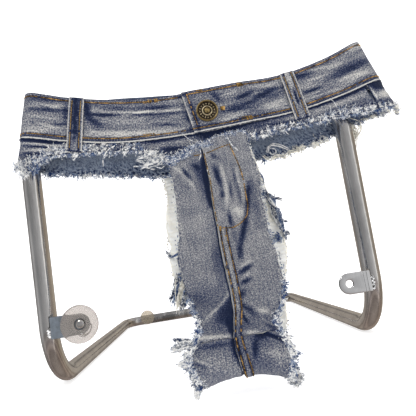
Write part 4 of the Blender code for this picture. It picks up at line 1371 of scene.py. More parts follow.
class SHORTS_OT_stitching(bpy.types.Operator):
    """Run the gold topstitching along the band, loops, fly and centre seam"""

    bl_idname = "shorts.stitching"
    bl_label = "Topstitching"

    def execute(self, context):
        sizes = context.scene.shorts_sizes
        pitch, radius = sizes.stitch_pitch, sizes.stitch_radius
        band, centre, loops, seams, bars = [], [], [], [], []
        for name, start, end, back, seeds in (
            ("waistband_button_end", -0.99, -0.105, False, (11, 31)),
            ("waistband_buttonhole_end", -0.075, 0.99, False, (12, 32)),
            ("waistband_back", 0.99, -0.99, True, (33, 33)),
        ):
            for drop, seed in zip(BAND_ROWS, seeds):
                path = path_on_band(np.linspace(start, end, 9), np.full(9, drop), back)
                stitches(band, path, name, pitch, radius, 0.97, seed)
        lap = path_on_band((-0.070, -0.045), (0.07, 0.89))
        stitches(band, lap, "waistband_buttonhole_end", pitch, radius, 0.97, 31)
        for name, top, bottom, back, _ in BELT_LOOPS:
            for side in (-0.0036, 0.0036):
                shift = side / HALF_PATH
                path = path_on_band((bottom + shift, top + shift), (1.20, 0.03), back)
                stitches(loops, path, name, pitch * 0.9, radius * 0.9, 0.95, 41)
        for name, rows, offset, thick, keep, seed in SEAM_STITCHES:
            path = path_on_loop(rows, seam_place(rows) + offset)
            stitches(seams, path, name, pitch, radius * thick, keep, seed)
        for name, rows, places, thick, keep, seed in FLY_STITCHES:
            stitches(centre, path_on_loop(rows, places), name, pitch, radius * thick, keep, seed)

        dice = np.random.default_rng(5)
        for across, drop, along, tall, where in BAND_BARTACKS:
            middle = waist(np.array([across]), drop)[0] + SHIFT
            wide, high = max(along, 0.003) / 2.0, tall / 2.0
            for _ in range(16):
                x = dice.uniform(-wide, wide)
                marks = [(x + dice.normal(0, 0.0003), AHEAD, s * high) for s in (-1.0, -0.5, 0.5, 1.0)]
                bars.append(settle(middle + np.array(marks), where, radius * 0.6)[0])
        for row, place, tall, wide in FLY_BARTACKS:
            middle = loop(np.array([row]), np.array([place]))[0] + SHIFT
            for _ in range(14):
                z = dice.uniform(-tall / 2.0, tall / 2.0)
                marks = [(x * wide, AHEAD, z) for x in (-1.0, -0.4, 0.4, 1.0)]
                bars.append(settle(middle + np.array(marks), "front_panel_right", radius * 0.6)[0])
        for name, lines, finish in (
            ("band_stitching", band, "gold_thread"),
            ("loop_stitching", loops, "pale_thread"),
            ("seam_stitching", seams, "brown_thread"),
            ("centre_stitching", centre, "gold_thread"),
            ("bartacks", bars, "gold_thread"),
        ):
            threads(name, lines, [radius] * len(lines), finish, "washed_denim")
        return {"FINISHED"}


FACING = Matrix.Rotation(math.radians(90.0), 4, "X")


def mesh_from(form, name):
    """A smooth mesh made from a finished form."""
    mesh = bpy.data.meshes.new(name)
    form.to_mesh(mesh)
    form.free()
    mesh.shade_smooth()
    return mesh


def turned(name, profile, steps, materials, slot, nodes, place, pick=None):
    """A profile (radius, height) spun about its axis, then put in place facing the front."""
    form = bmesh.new()
    points = [form.verts.new((r, 0.0, z)) for r, z in profile]
    edges = [form.edges.new(pair) for pair in zip(points, points[1:])]
    axis = {"axis": (0.0, 0.0, 1.0), "cent": (0.0, 0.0, 0.0), "angle": math.tau}
    bmesh.ops.spin(form, geom=points + edges, steps=steps, use_merge=True, **axis)
    bmesh.ops.remove_doubles(form, verts=form.verts, dist=1e-6)
    bmesh.ops.recalc_face_normals(form, faces=form.faces)
    if pick:
        for face in form.faces:
            centre = face.calc_center_median()
            face.material_index = pick(math.hypot(centre.x, centre.y), centre.z)
    form.transform(Matrix.Translation(Vector(place)) @ FACING)
    link_piece(name, mesh_from(form, name), materials, slot, nodes)


# the button: its place on the band, the profile as (share of its radius, height), and its dots
BUTTON_ACROSS, BUTTON_DROP, BUTTON_SEAT = 0.012, 0.56, 0.0030
BUTTON_PROFILE = (
    (0.0, 0.0031), (0.20, 0.0032), (0.25, 0.0029), (0.28, 0.0019), (0.34, 0.0018), (0.37, 0.0026),
    (0.43, 0.0026), (0.47, 0.0017), (0.82, 0.0017), (0.86, 0.0024), (0.90, 0.0032), (0.94, 0.0033),
    (0.98, 0.0028), (1.0, 0.0021), (0.99, 0.0012), (0.93, 0.0006), (0.60, 0.0), (0.0, 0.0),
)
DOTS, DOT_RING, DOT_HEIGHT, DOT_RADIUS = 16, 0.65, 0.0018, 0.00055


class SHORTS_OT_button(bpy.types.Operator):
    """Turn the shank button: rolled rim, dotted hollow, bright inner ring and flat boss"""

    bl_idname = "shorts.button"
    bl_label = "Button"

    def execute(self, context):
        radius = context.scene.shorts_sizes.button_radius
        seat = waist(np.array([BUTTON_ACROSS]), BUTTON_DROP, out=BUTTON_SEAT)[0] + SHIFT
        profile = [(share * radius, height) for share, height in BUTTON_PROFILE]

        def pick(reach, _):
            share = reach / radius
            if 0.25 < share < 0.36 or 0.45 < share < 0.85:
                return 1
            return 2 if 0.36 <= share <= 0.45 else 0

        skins = ("brass", "brass_hollow", "brass_bright")
        turned("shank_button", profile, 48, skins, "antique_brass", ("button",), seat, pick)
        marks = bmesh.new()
        for step in range(DOTS):
            angle = math.tau * step / DOTS
            reach = DOT_RING * radius
            spot = Matrix.Translation((reach * math.cos(angle), reach * math.sin(angle), DOT_HEIGHT))
            long = Matrix.Diagonal((1.9, 0.8, 0.7, 1.0) if step % 2 else (0.9, 1.3, 0.7, 1.0))
            spot = spot @ Matrix.Rotation(angle, 4, "Z") @ long
            bmesh.ops.create_icosphere(marks, subdivisions=2, radius=DOT_RADIUS, matrix=spot)
        marks.transform(Matrix.Translation(Vector(seat)) @ FACING)
        link_piece("button_marks", mesh_from(marks, "button_marks"), ("brass_bright",), "antique_brass")
        return {"FINISHED"}


def tab_face(height, radius):
    """Y of a tab's front face."""
    lean = -UPRIGHT_LEAN * (height + TAB_WIDTH / 2.0 - radius)
    return lean - radius * FACET - GAP - TAB_THICKNESS


def tab_plate(side, tip):
    """A flat tab lying at height 0: a screw hole in its round end and a straight root."""
    form = bmesh.new()
    half = TAB_WIDTH / 2.0
    hole, root = side * (tip + half), side * TAB_ROOT
    round_hole = {"radius": TAB_HOLE_RADIUS, "segments": ROUND_STEPS, "cap_ends": False}
    ring = bmesh.ops.create_circle(form, matrix=Matrix.Translation((hole, 0.0, 0.0)), **round_hole)["verts"]
    outer = []
    for step in range(ROUND_STEPS):
        angle = math.tau * step / ROUND_STEPS
        x, z = half * math.cos(angle), half * math.sin(angle)
        if x * side > 1e-6:
            z = math.copysign(half, z) if abs(z) > 0.45 * half else z / 0.45
            x = root - hole
        outer.append(form.verts.new((hole + x, z, 0.0)))
    edges = [form.edges.new(pair) for pair in zip(outer, outer[1:] + outer[:1])]
    inner = list({edge for vertex in ring for edge in vertex.link_edges})
    bmesh.ops.bridge_loops(form, edges=edges + inner)
    bmesh.ops.remove_doubles(form, verts=form.verts, dist=1e-5)
    raised = bmesh.ops.extrude_face_region(form, geom=list(form.faces))
    lifted = [corner for corner in raised["geom"] if isinstance(corner, bmesh.types.BMVert)]
    bmesh.ops.translate(form, verts=lifted, vec=(0.0, 0.0, TAB_THICKNESS))
    bmesh.ops.recalc_face_normals(form, faces=form.faces)
    sharp = [edge for edge in form.edges if len(edge.link_faces) == 2 and edge.calc_face_angle() > 1.0]
    bevel = {"offset": 0.0005, "affect": "EDGES", "segments": 2, "profile": 0.5, "material": -1}
    bmesh.ops.bevel(form, geom=sharp, **bevel)
    # the flat faces take slot 0 and the rim and bevels slot 1, the dark copy of the steel that paints shade
    # round the edge
    for face in form.faces:
        face.normal_update()
        face.material_index = 0 if abs(face.normal.z) > 0.9 else 1
    return form


def weld_beads(side, face, height):
    """A ragged row of weld beads where a tab meets its upright."""
    form = bmesh.new()
    size = Matrix.Diagonal((1.2, 0.7, 0.8, 1.0))
    for step in range(7):
        drop = -0.375 * TAB_WIDTH + 0.0011 * step * (1.0 if side < 0.0 else 1.6)
        spot = (side * (TAB_ROOT + 0.0012 + 0.0008 * (step % 2)), face + 0.0010, height + drop)
        place = Matrix.Translation(Vector(spot) + Vector(SHIFT)) @ size
        bmesh.ops.create_icosphere(form, subdivisions=2, radius=0.0013, matrix=place)
    return form


class SHORTS_OT_tabs(bpy.types.Operator):
    """Cut the two screw tabs and run their welds"""

    bl_idname = "shorts.tabs"
    bl_label = "Screw tabs"

    def execute(self, context):
        radius = context.scene.shorts_sizes.tube_radius
        for name, side, tip, height in TABS:
            face = tab_face(height, radius)
            form = tab_plate(side, tip)
            place = Vector((0.0, face + TAB_THICKNESS, height)) + Vector(SHIFT)
            form.transform(Matrix.Translation(place) @ FACING)
            # painted light: the left tab's face takes a darker, duller copy of the steel as painted shade,
            # the right tab's face a white copy as painted highlight, and the rims a dark copy as painted
            # shade
            skins = ("dull_steel" if side < 0.0 else "bright_steel", "dark_steel")
            link_piece(name + "_plate", mesh_from(form, name), skins, "polished_steel", (name,))
            # two scored bend lines on the right tab, thin threads in the dark copy of the steel as painted
            # shade in the grooves
            if side > 0.0:
                lines = []
                for x in (0.0035, 0.0065):
                    heights = [height + share * TAB_WIDTH * 0.485 for share in (-1.0, -0.3, 0.3, 1.0)]
                    lines.append(np.array([(TAB_ROOT - x, face, z) for z in heights]) + SHIFT)
                threads(name + "_scores", lines, (0.00016, 0.00010), "dark_steel", "polished_steel", 1)
            beads = mesh_from(weld_beads(side, face, height), name + "_weld")
            link_piece(name + "_weld", beads, ("weld",), "polished_steel")
        return {"FINISHED"}


# profiles as (radius, height); the bumper's widest ring comes from its own size
BUMPER_PROFILE = (
    (0.0052, 0.0026), (0.0060, 0.0030), (0.0080, 0.0034), (0.0105, 0.0048), (0.0125, 0.0058),
    (0.0145, 0.0060), (0.0160, 0.0054), (0.0168, 0.0042), (None, 0.0026), (0.0168, 0.0010),
    (0.0160, 0.0), (0.0052, 0.0), (0.0052, 0.0026),
)
REAR_BUMPER_PROFILE = (
    (0.0, 0.0052), (0.0090, 0.0054), (0.0118, 0.0050), (0.0131, 0.0038),
    (0.0135, 0.0022), (0.0130, 0.0006), (0.0118, 0.0), (0.0, 0.0),
)
SCREW_PROFILE = (
    (0.0, 0.0022), (0.0022, 0.0021), (0.0036, 0.0016), (0.0043, 0.0006),
    (0.0044, 0.0), (0.0030, -0.0002), (0.0030, -0.0050), (0.0, -0.0050),
)
REAR_BUMPER_INSET, REAR_BUMPER_HEIGHT = 0.042, 0.0138


class SHORTS_OT_bumpers(bpy.types.Operator):
    """Turn the clear bumpers and the screw that holds one"""

    bl_idname = "shorts.bumpers"
    bl_label = "Bumpers"

    def execute(self, context):
        sizes = context.scene.shorts_sizes
        _, side, tip, height = TABS[0]
        spot = (side * (tip + TAB_WIDTH / 2.0), tab_face(height, sizes.tube_radius) - GAP, height)
        face = Vector(spot) + Vector(SHIFT)
        ring = [(sizes.bumper_radius if radius is None else radius, rise) for radius, rise in BUMPER_PROFILE]
        turned("bumper_left_disc", ring, 72, ("rubber",), "clear_rubber", ("bumper_left",), face)
        rear_x = REAR_HALF_WIDTH - REAR_BUMPER_INSET
        rear_y = BASE_DEPTH - sizes.tube_radius * FACET - GAP
        for name, side in (("bumper_rear_left", -1.0), ("bumper_rear_right", 1.0)):
            place = Vector((side * rear_x, rear_y, REAR_BUMPER_HEIGHT)) + Vector(SHIFT)
            turned(name + "_disc", REAR_BUMPER_PROFILE, 56, ("amber_rubber",), "clear_rubber", (name,), place)
        turned("bumper_left_screw", SCREW_PROFILE, 40, ("steel",), "polished_steel", ("bumper_screw",), face)
        return {"FINISHED"}


# how far apart the clumps along a torn edge are, and how a thread thins from its root to its tip
TUFT_PITCH = 0.0022
FRAY_TAPER = (0.9, 1.0, 1.0, 0.95, 0.85, 0.5)
# the thread finishes, and mixes that give each one's share
FRAYS = ("white_fray", "mixed_fray", "blue_fray", "cream_fray")
PALE = (0.60, 0.14, 0.26, 0.0)
EVEN = (0.42, 0.20, 0.38, 0.0)
DARK = (0.13, 0.24, 0.63, 0.0)
SANDY = (0.22, 0.10, 0.08, 0.60)
# single loose threads: finish, how many side by side, how far apart, and the way they run, in mm
STRANDS = (
    ("white_fray", 2, 0.3, ((-67, -37.5, 212), (-74, -37.5, 209), (-79, -37.5, 202), (-79.5, -37.5, 194.5))),
    ("white_fray", 1, 0.2, ((-5, -41, 214), (1, -41.5, 206.5), (10, -42, 201), (14, -43, 201))),
    ("white_fray", 2, 0.2, ((8.8, -44, 195), (8.5, -45.5, 190), (6.4, -46, 185))),
    ("white_fray", 3, 0.3, ((35.5, -42, 203), (36.5, -44, 198), (38, -45, 194), (42, -46, 189))),
    ("white_fray", 6, 0.7, ((76, -9, 192.5), (77, -9, 197), (82, -9, 199.5), (89.5, -9, 197), (97, -9, 192))),
    (
        "white_fray", 3, 0.5,
        ((78, -9.5, 192), (80, -9.5, 189.5), (84, -9.5, 190), (84, -9.5, 194), (79, -9.5, 196)),
    ),
    (
        "cream_fray", 5, 1.1,
        (
            (71, -8, 190), (77, -8, 185.5), (84, -8, 188.5), (92, -8, 186.5),
            (98, -8, 190.5), (106, -8, 191), (112, -8, 196),
        ),
    ),
    ("cream_fray", 8, 1.3, ((165, -4, 214), (174, -5, 207), (171, -5, 199), (161, -5, 192), (157, -5, 190))),
    ("cream_fray", 6, 1.0, ((158, -4, 207), (165, -5, 202), (166, -5, 195), (164, -5, 184))),
    ("white_fray", 1, 0.2, ((137, -35, 228), (139, -38, 223), (141, -38, 217))),
    ("white_fray", 2, 0.4, ((-52, -38, 190), (-44, -39.5, 188.5), (-34, -39, 184))),
    ("white_fray", 2, 0.4, ((-50, -38, 196), (-43, -39.5, 192), (-37, -39, 188))),
    ("white_fray", 3, 0.5, ((-46, -38, 187), (-38, -40, 189), (-30, -40, 194), (-24, -40, 200))),
    ("blue_fray", 3, 0.5, ((56, -8, 181), (62, -9, 176), (66, -12, 166), (65, -14, 158))),
    ("cream_fray", 5, 0.8, ((52, -40, 196), (56, -36, 186), (60, -28, 174), (63, -20, 164))),
)
# locks of threads that hang together: from, to, width at the root, how many, which finish
LOCKS = (
    ((0.0600, -0.016, 0.1560), (0.0680, -0.021, 0.1460), 0.0030, 40, "mixed_fray"),
    ((0.0600, -0.017, 0.1550), (0.0690, -0.022, 0.1440), 0.0034, 30, "blue_fray"),
    ((0.0675, -0.021, 0.1470), (0.0790, -0.023, 0.1400), 0.0016, 16, "white_fray"),
    ((0.0680, -0.022, 0.1460), (0.0800, -0.024, 0.1425), 0.0012, 10, "mixed_fray"),
    ((0.0665, -0.021, 0.1480), (0.0690, -0.030, 0.1270), 0.0034, 46, "mixed_fray"),
    ((0.0680, -0.022, 0.1460), (0.0700, -0.031, 0.1250), 0.0030, 34, "blue_fray"),
    ((0.0685, -0.027, 0.1360), (0.0715, -0.041, 0.1030), 0.0036, 46, "mixed_fray"),
    ((0.0695, -0.028, 0.1340), (0.0720, -0.041, 0.1040), 0.0030, 44, "blue_fray"),
    ((0.0680, -0.028, 0.1340), (0.0700, -0.038, 0.1120), 0.0034, 26, "white_fray"),
    ((0.0700, -0.032, 0.1240), (0.0775, -0.034, 0.1195), 0.0018, 20, "mixed_fray"),
    ((0.0715, -0.037, 0.1110), (0.0765, -0.039, 0.1075), 0.0022, 22, "mixed_fray"),
    ((0.0650, -0.030, 0.1440), (0.0700, -0.032, 0.1340), 0.0014, 10, "white_fray"),
    ((0.0620, -0.041, 0.1080), (0.0670, -0.041, 0.1040), 0.0032, 40, "blue_fray"),
    ((-0.0240, -0.045, 0.1060), (-0.0320, -0.040, 0.1040), 0.0012, 14, "blue_fray"),
    ((-0.0310, -0.040, 0.1045), (-0.0350, -0.040, 0.1120), 0.0014, 14, "mixed_fray"),
    ((-0.0235, -0.052, 0.0880), (-0.0360, -0.060, 0.0670), 0.0035, 60, "mixed_fray"),
    ((-0.0230, -0.056, 0.0840), (-0.0340, -0.064, 0.0640), 0.0030, 40, "blue_fray"),
    ((-0.0220, -0.060, 0.0810), (-0.0300, -0.070, 0.0600), 0.0040, 60, "cream_fray"),
    ((-0.0200, -0.070, 0.0760), (-0.0270, -0.078, 0.0600), 0.0030, 40, "mixed_fray"),
    ((-0.0190, -0.088, 0.0700), (-0.0150, -0.098, 0.0580), 0.0025, 40, "mixed_fray"),
    ((-0.0230, -0.112, 0.0420), (-0.0370, -0.112, 0.0390), 0.0040, 40, "white_fray"),
    ((-0.0230, -0.112, 0.0420), (-0.0330, -0.112, 0.0460), 0.0030, 30, "mixed_fray"),
    ((-0.0270, -0.116, 0.0300), (-0.0330, -0.116, 0.0300), 0.0025, 24, "white_fray"),
    ((-0.0205, -0.113, 0.0120), (-0.0223, -0.113, 0.0052), 0.0026, 40, "white_fray"),
    ((-0.0195, -0.113, 0.0135), (-0.0195, -0.113, 0.0105), 0.0024, 30, "blue_fray"),
    ((0.0450, -0.110, 0.0100), (0.0480, -0.109, 0.0036), 0.0050, 80, "white_fray"),
    ((0.0440, -0.111, 0.0170), (0.0460, -0.111, 0.0130), 0.0026, 30, "blue_fray"),
    ((0.0455, -0.110, 0.0080), (0.0465, -0.110, 0.0060), 0.0024, 14, "mixed_fray"),
    ((0.0460, -0.114, 0.0260), (0.0545, -0.112, 0.0215), 0.0010, 6, "blue_fray"),
    ((0.0480, -0.104, 0.0530), (0.0480, -0.108, 0.0410), 0.0004, 3, "cream_fray"),
    ((-0.1500, -0.034, 0.2080), (-0.1520, -0.036, 0.1930), 0.0055, 60, "white_fray"),
    ((-0.1480, -0.034, 0.2080), (-0.1470, -0.036, 0.1960), 0.0045, 40, "mixed_fray"),
    ((-0.1420, -0.034, 0.2050), (-0.1400, -0.036, 0.1960), 0.0045, 30, "blue_fray"),
    ((-0.0300, -0.038, 0.2000), (-0.0480, -0.040, 0.1960), 0.0045, 30, "white_fray"),
    ((-0.0260, -0.039, 0.1940), (-0.0440, -0.041, 0.1880), 0.0045, 30, "white_fray"),
    ((0.1640, -0.006, 0.2080), (0.1680, -0.008, 0.1960), 0.0040, 30, "cream_fray"),
)


# clumps at the front: the strip, from where to where across it, how far up from its edge they grow
FRONT_TUFTS = (
    (LEFT_STRIP, -0.922, -0.66, 0.0036),
    (LEFT_STRIP, -0.66, -0.60, 0.0055),
    (LEFT_STRIP, -0.60, -0.34, 0.0074),
    (LEFT_STRIP, -0.34, -0.20, 0.0040),
    (RIGHT_STRIP, 0.10, 0.835, 0.0034),
    (RIGHT_SIDE, 0.85, 0.992, 0.0030),
)
# wisps that stand up over a strip: where across it, and their heading
LEFT_WISPS = ((-0.80, -1.9), (-0.765, -1.2), (-0.71, -1.9), (-0.60, -2.0))
RIGHT_WISPS = ((0.60, -1.0), (0.66, -1.2), (0.72, -0.9), (0.79, -1.3))
# clumps on the back strip: from where to where across it, and the mix
BACK_TUFTS = (
    (-0.91, -0.16, DARK),
    (0.18, 0.40, DARK),
    (0.40, 0.60, SANDY),
    (0.44, 0.58, SANDY),
    (0.60, 0.82, DARK),
    (0.82, 0.98, SANDY),
)
# clumps along the loop: first and last row, side, heading, mix, how many threads, their lengths
LOOP_TUFTS = (
    (1.0, 6.0, -1, 2.6, EVEN, 150, (0.0008, 0.0018)),
    (0.3, 6.0, 1, 0.5, EVEN, 300, (0.0010, 0.0026)),
    (5.8, 7.3, -1, 2.4, EVEN, 260, (0.0015, 0.0040)),
    (5.6, 7.9, 1, 0.9, DARK, 420, (0.0014, 0.0040)),
    (6.6, 7.9, 1, 0.5, PALE, 160, (0.0020, 0.0045)),
    (7.1, 8.9, -1, 2.6, PALE, 480, (0.0024, 0.0060)),
    (8.5, 11.0, -1, 2.2, DARK, 420, (0.0010, 0.0028)),
    (8.6, 10.8, -1, 2.3, (0.52, 0.36, 0.12, 0.0), 560, (0.0024, 0.0050)),
    (7.9, 10.8, 1, 0.9, (0.62, 0.30, 0.08, 0.0), 700, (0.0022, 0.0052)),
    (8.6, 10.8, 1, 1.2, DARK, 200, (0.0010, 0.0026)),
    (11.2, 18.8, -1, 2.6, EVEN, 340, (0.0010, 0.0030)),
    (11.2, 18.8, 1, 0.6, EVEN, 340, (0.0010, 0.0030)),
)
LOOP_TUFT_PITCH = 0.09
# the torn top of the fly, left and right: rows, places, how many threads
FLY_TOP = (
    ((1.02, 0.84, 0.66, 0.38), (0.0, 0.13, 0.26, 0.44), 640),
    ((0.44, 0.26, 0.04, 0.10), (0.445, 0.64, 0.83, 1.0), 780),
)
FLY_TOP_MIX = (0.24, 0.20, 0.56)
STRIP_WAYS = (np.array([1.0, 0.0, 0.0]), np.array([0.0, -0.1, -1.0]))


class Fraying:
    """The threads pulled out so far, by finish, and the dice that place them."""

    def __init__(self):
        self.dice = np.random.default_rng(21)
        self.threads = {kind: [] for kind in FRAYS}

    def share_out(self, count, shares, spots, ways, *look):
        """Threads in every finish; look is heading, spread, turn, lengths and lift."""
        *shape, lift = look
        for kind, share in zip(FRAYS, shares):
            self.threads[kind] += curls(spots, *ways, int(count * share), *shape, self.dice, lift)

    def clump(self, count, shares, spots, ways, *look):
        """Threads in one finish, picked by its share."""
        *shape, lift = look
        made = curls(spots, *ways, count, *shape, self.dice, lift)
        self.threads[self.dice.choice(FRAYS, p=shares)] += made

    def strip_points(self, table, low, high, above, back=False, out=0.0002):
        """Points on a strip from above metres over its torn edge down to the edge."""
        across = self.dice.uniform(low, high, 900)
        position = np.interp(across, table[0], np.arange(len(table[0]), dtype=float))
        depth = smooth_row(table[1], position) - above * self.dice.random(900) ** 1.3
        return waist(across, 1.0, back, below=np.maximum(depth, 0.001), out=out, folded=across > 0.0) + SHIFT

    def tufts(self, table, low, high, above, heading, shares, reach, each, back=False, out=0.0002, turn=1.0):
        """Little clumps of threads side by side along a strip."""
        for middle in np.arange(low, high, TUFT_PITCH / HALF_PATH):
            place = middle + self.dice.uniform(-0.012, 0.012)
            spots = self.strip_points(table, place - 0.008, place + 0.008, above, back, out)
            lean = heading + self.dice.normal(0.0, 0.5)
            long = np.array(reach) * self.dice.uniform(0.6, 1.4)
            self.clump(each, shares, spots, STRIP_WAYS, lean, 0.35, turn, long, 0.0014)

    def fray_strips(self):
        """Fray the strips of the front, the side and the back."""
        for table, low, high, above in FRONT_TUFTS:
            self.tufts(table, low, high, above, -1.0, PALE, (0.0018, 0.0040), 12)
            self.tufts(table, low, high, 0.0, 1.75, EVEN, (0.0022, 0.0048), 9)
        self.tufts(RIGHT_SIDE, 0.85, 0.992, 0.0, 1.6, SANDY, (0.003, 0.0065), 12, out=-0.001)
        for table, wisps in ((LEFT_STRIP, LEFT_WISPS), (RIGHT_STRIP, RIGHT_WISPS)):
            for middle, heading in wisps:
                spots = self.strip_points(table, middle - 0.012, middle + 0.012, 0.005)
                self.share_out(44, PALE, spots, STRIP_WAYS, heading, 0.4, 0.9, (0.003, 0.007), 0.0018)
        corner = self.strip_points(LEFT_STRIP, -0.925, -0.79, 0.002)
        self.share_out(420, EVEN, corner, STRIP_WAYS, 1.6, 0.45, 1.5, (0.0040, 0.0105), 0.0016)
        knot = self.strip_points(LEFT_STRIP, -0.27, -0.16, 0.005)
        self.share_out(260, (0.75, 0.25), knot, STRIP_WAYS, 2.7, 0.8, 1.3, (0.0025, 0.0065), 0.0022)
        for low, high, shares in BACK_TUFTS:
            self.tufts(BACK_STRIP, low, high, 0.0015, 1.85, shares, (0.0034, 0.0064), 13, True, -0.0022, 2.2)
            self.tufts(BACK_STRIP, low, high, 0.0004, 1.7, EVEN, (0.002, 0.004), 2, True, -0.0024)

    def fray_loop(self):
        """Fray the centre panels, the lining and the torn top of the fly."""
        dice = self.dice
        for low, high, side, heading, shares, count, reach in LOOP_TUFTS:
            middles = np.arange(low, high, LOOP_TUFT_PITCH)
            for middle in middles:
                rows = middle + dice.uniform(-0.06, 0.06, 40)
                spots, *ways = loop_points(rows, torn_place(rows, side) + dice.normal(0.0, 0.012, 40))
                lean = heading + dice.normal(0.0, 0.45)
                self.clump(count // len(middles), shares, spots, ways, lean, 0.4, 1.2, reach, 0.0012)
        for side, heading in ((-1, 2.7), (1, 0.5)):
            rows = dice.uniform(13.2, 18.9, 400)
            spots, *ways = loop_points(rows, lining_place(rows, side), -0.0018)
            look = (heading, 0.6, 1.4, (0.0008, 0.0022), dice, 0.0004)
            self.threads["cream_fray"] += curls(spots, *ways, 200, *look)
        for rows, places, count in FLY_TOP:
            t, marks = dice.random(500), np.linspace(0.0, 1.0, len(rows))
            row = np.interp(t, marks, rows) + 0.30 * dice.random(500)
            spots, *ways = loop_points(row, np.interp(t, marks, places), 0.0006)
            self.share_out(count, FLY_TOP_MIX, spots, ways, -1.2, 0.8, 1.5, (0.0018, 0.0044), 0.0014)

    def hang_locks_and_strands(self):
        """Hang the locks and lay the single loose threads."""
        for start, end, width, count, kind in LOCKS:
            self.threads[kind] += lock(start, end, width, count, self.dice)
        for kind, copies, apart, path in STRANDS:
            fine = np.linspace(0.0, len(path) - 1.0, 5 * len(path))
            path = MM * np.array(path)
            smooth = np.column_stack([smooth_row(path[:, axis], fine) for axis in range(3)]) + SHIFT
            for _ in range(copies):
                sway = self.dice.normal(0.0, apart * MM, (2, 3)) * np.array([1.0, 0.4, 1.0])
                bow = np.sin(np.linspace(0.3, 2.8, len(smooth)))[:, None]
                self.threads[kind].append(smooth + sway[0] + sway[1] * bow)


def loop_points(rows, places, out=0.0002):
    """Points on the centre loop and the ways across and down there."""
    spots = loop(rows, places, out)
    down = loop(np.minimum(rows + 0.1, LAST_ROW), places, out) - spots
    down /= np.linalg.norm(down, axis=1, keepdims=True) + 1e-9
    across = loop(rows, places + 0.02, out) - loop(rows, places - 0.02, out)
    return spots + SHIFT, across / np.linalg.norm(across, axis=1, keepdims=True), down


def tapered(count, radius):
    """The radii of a thread of count points, thinner at its tip."""
    steps = np.arange(len(FRAY_TAPER))
    return radius * np.interp(np.linspace(0.0, steps[-1], count), steps, FRAY_TAPER)


class SHORTS_OT_frays(bpy.types.Operator):
    """Pull loose threads out of every torn edge"""

    bl_idname = "shorts.frays"
    bl_label = "Frays"

    def execute(self, context):
        thin = context.scene.shorts_sizes.fray_radius
        fraying = Fraying()
        fraying.fray_strips()
        fraying.fray_loop()
        fraying.hang_locks_and_strands()
        for kind, lines in fraying.threads.items():
            radii = [tapered(len(line), thin) * fraying.dice.uniform(0.7, 1.3) for line in lines]
            slot = "cream_cotton" if kind == "cream_fray" else "washed_denim"
            threads(kind, lines, radii, kind, slot)
        return {"FINISHED"}


# colours round the horizon by turn, seen in the steel, and how they darken below the horizon
HORIZON = (
    (0.0, (0.50, 0.50, 0.51)),
    (0.06, (0.42, 0.42, 0.43)),
    (0.122, (0.36, 0.37, 0.38)),
    (0.17, (0.45, 0.45, 0.46)),
    (0.222, (0.70, 0.70, 0.71)),
    (0.27, (0.47, 0.47, 0.48)),
    (0.32, (0.36, 0.36, 0.36)),
    (0.40, (0.40, 0.35, 0.32)),
    (0.49, (0.60, 0.54, 0.47)),
    (0.507, (0.16, 0.145, 0.14)),
    (0.524, (0.58, 0.52, 0.45)),
    (0.62, (0.66, 0.57, 0.45)),
    (0.70, (0.45, 0.38, 0.31)),
    (0.785, (0.42, 0.37, 0.32)),
    (0.825, (0.66, 0.63, 0.58)),
    (0.845, (2.0, 2.0, 1.95)),
    (0.865, (0.80, 0.80, 0.81)),
    (0.92, (0.68, 0.68, 0.69)),
    (1.0, (0.50, 0.50, 0.51)),
)
BELOW = (
    (0.0, (1.0, 1.0, 1.0)),
    (0.30, (1.0, 1.0, 1.0)),
    (0.40, (0.62, 0.58, 0.56)),
    (0.52, (1.10, 1.05, 1.0)),
    (0.60, (0.50, 0.44, 0.46)),
    (0.70, (1.15, 1.05, 0.98)),
    (0.80, (0.60, 0.54, 0.52)),
    (1.0, (0.95, 0.9, 0.86)),
)
OVERHEAD, UNDERNEATH = (0.95, 0.95, 0.98, 1.0), (0.46, 0.41, 0.38, 1.0)
# each lamp: its name, place, aim, size and power
LAMPS = (
    ("key_light", (-0.9, -1.5, 1.5), (0.0, -0.15, 0.12), 0.7, 10.0),
    ("front_light", (0.1, -1.6, 0.12), (0.0, -0.1, 0.15), 0.6, 3.7),
    ("fill_light", (1.3, -1.3, 0.9), (0.0, -0.15, 0.12), 1.1, 3.9),
    ("backdrop_light", (0.0, 0.6, 2.6), (0.0, 1.6, 0.3), 1.6, 30.0),
)
# the floor runs flat, bends up and ends as a wall: where it starts, where it bends and how widely
FLOOR_START, FLOOR_FLAT, FLOOR_BEND = -3.0, 4.2, 1.2
CAMERA_PLACE = (-0.008, -0.4082, 0.0897)
CAMERA_YAW, CAMERA_PITCH, CAMERA_ROLL = math.radians(2.46), math.radians(8.13), math.radians(9.0)
CAMERA_LENS = 36.346154


def lay_floor(colour):
    """The floor and, in one sweep with it, the wall behind."""
    form = bmesh.new()
    bmesh.ops.create_grid(form, x_segments=2, y_segments=60, size=0.5)
    for vertex in form.verts:
        run = (vertex.co.y + 0.5) * 7.5
        y, z = run, 0.0
        if run >= FLOOR_FLAT:
            angle = min((run - FLOOR_FLAT) / FLOOR_BEND, math.pi / 2.0)
            y = FLOOR_FLAT + FLOOR_BEND * math.sin(angle)
            straight = max(run - FLOOR_FLAT - FLOOR_BEND * math.pi / 2.0, 0.0)
            z = FLOOR_BEND * (1.0 - math.cos(angle)) + straight
        vertex.co = (vertex.co.x * 9.0, y + FLOOR_START, z - 0.0002)
    material, _, shader = new_material("studio_floor")
    set_inputs(shader, Base_Color=(*colour, 1.0), Roughness=0.9, Specular_IOR_Level=0.0)
    set_inputs(shader, Emission_Color=(1.0, 1.0, 1.0, 1.0), Emission_Strength=0.66)
    mesh = mesh_from(form, "studio_floor")
    mesh.materials.append(material)
    floor = bpy.data.objects.new("studio_floor", mesh)
    bpy.context.scene.collection.objects.link(floor)
    floor.visible_glossy = False


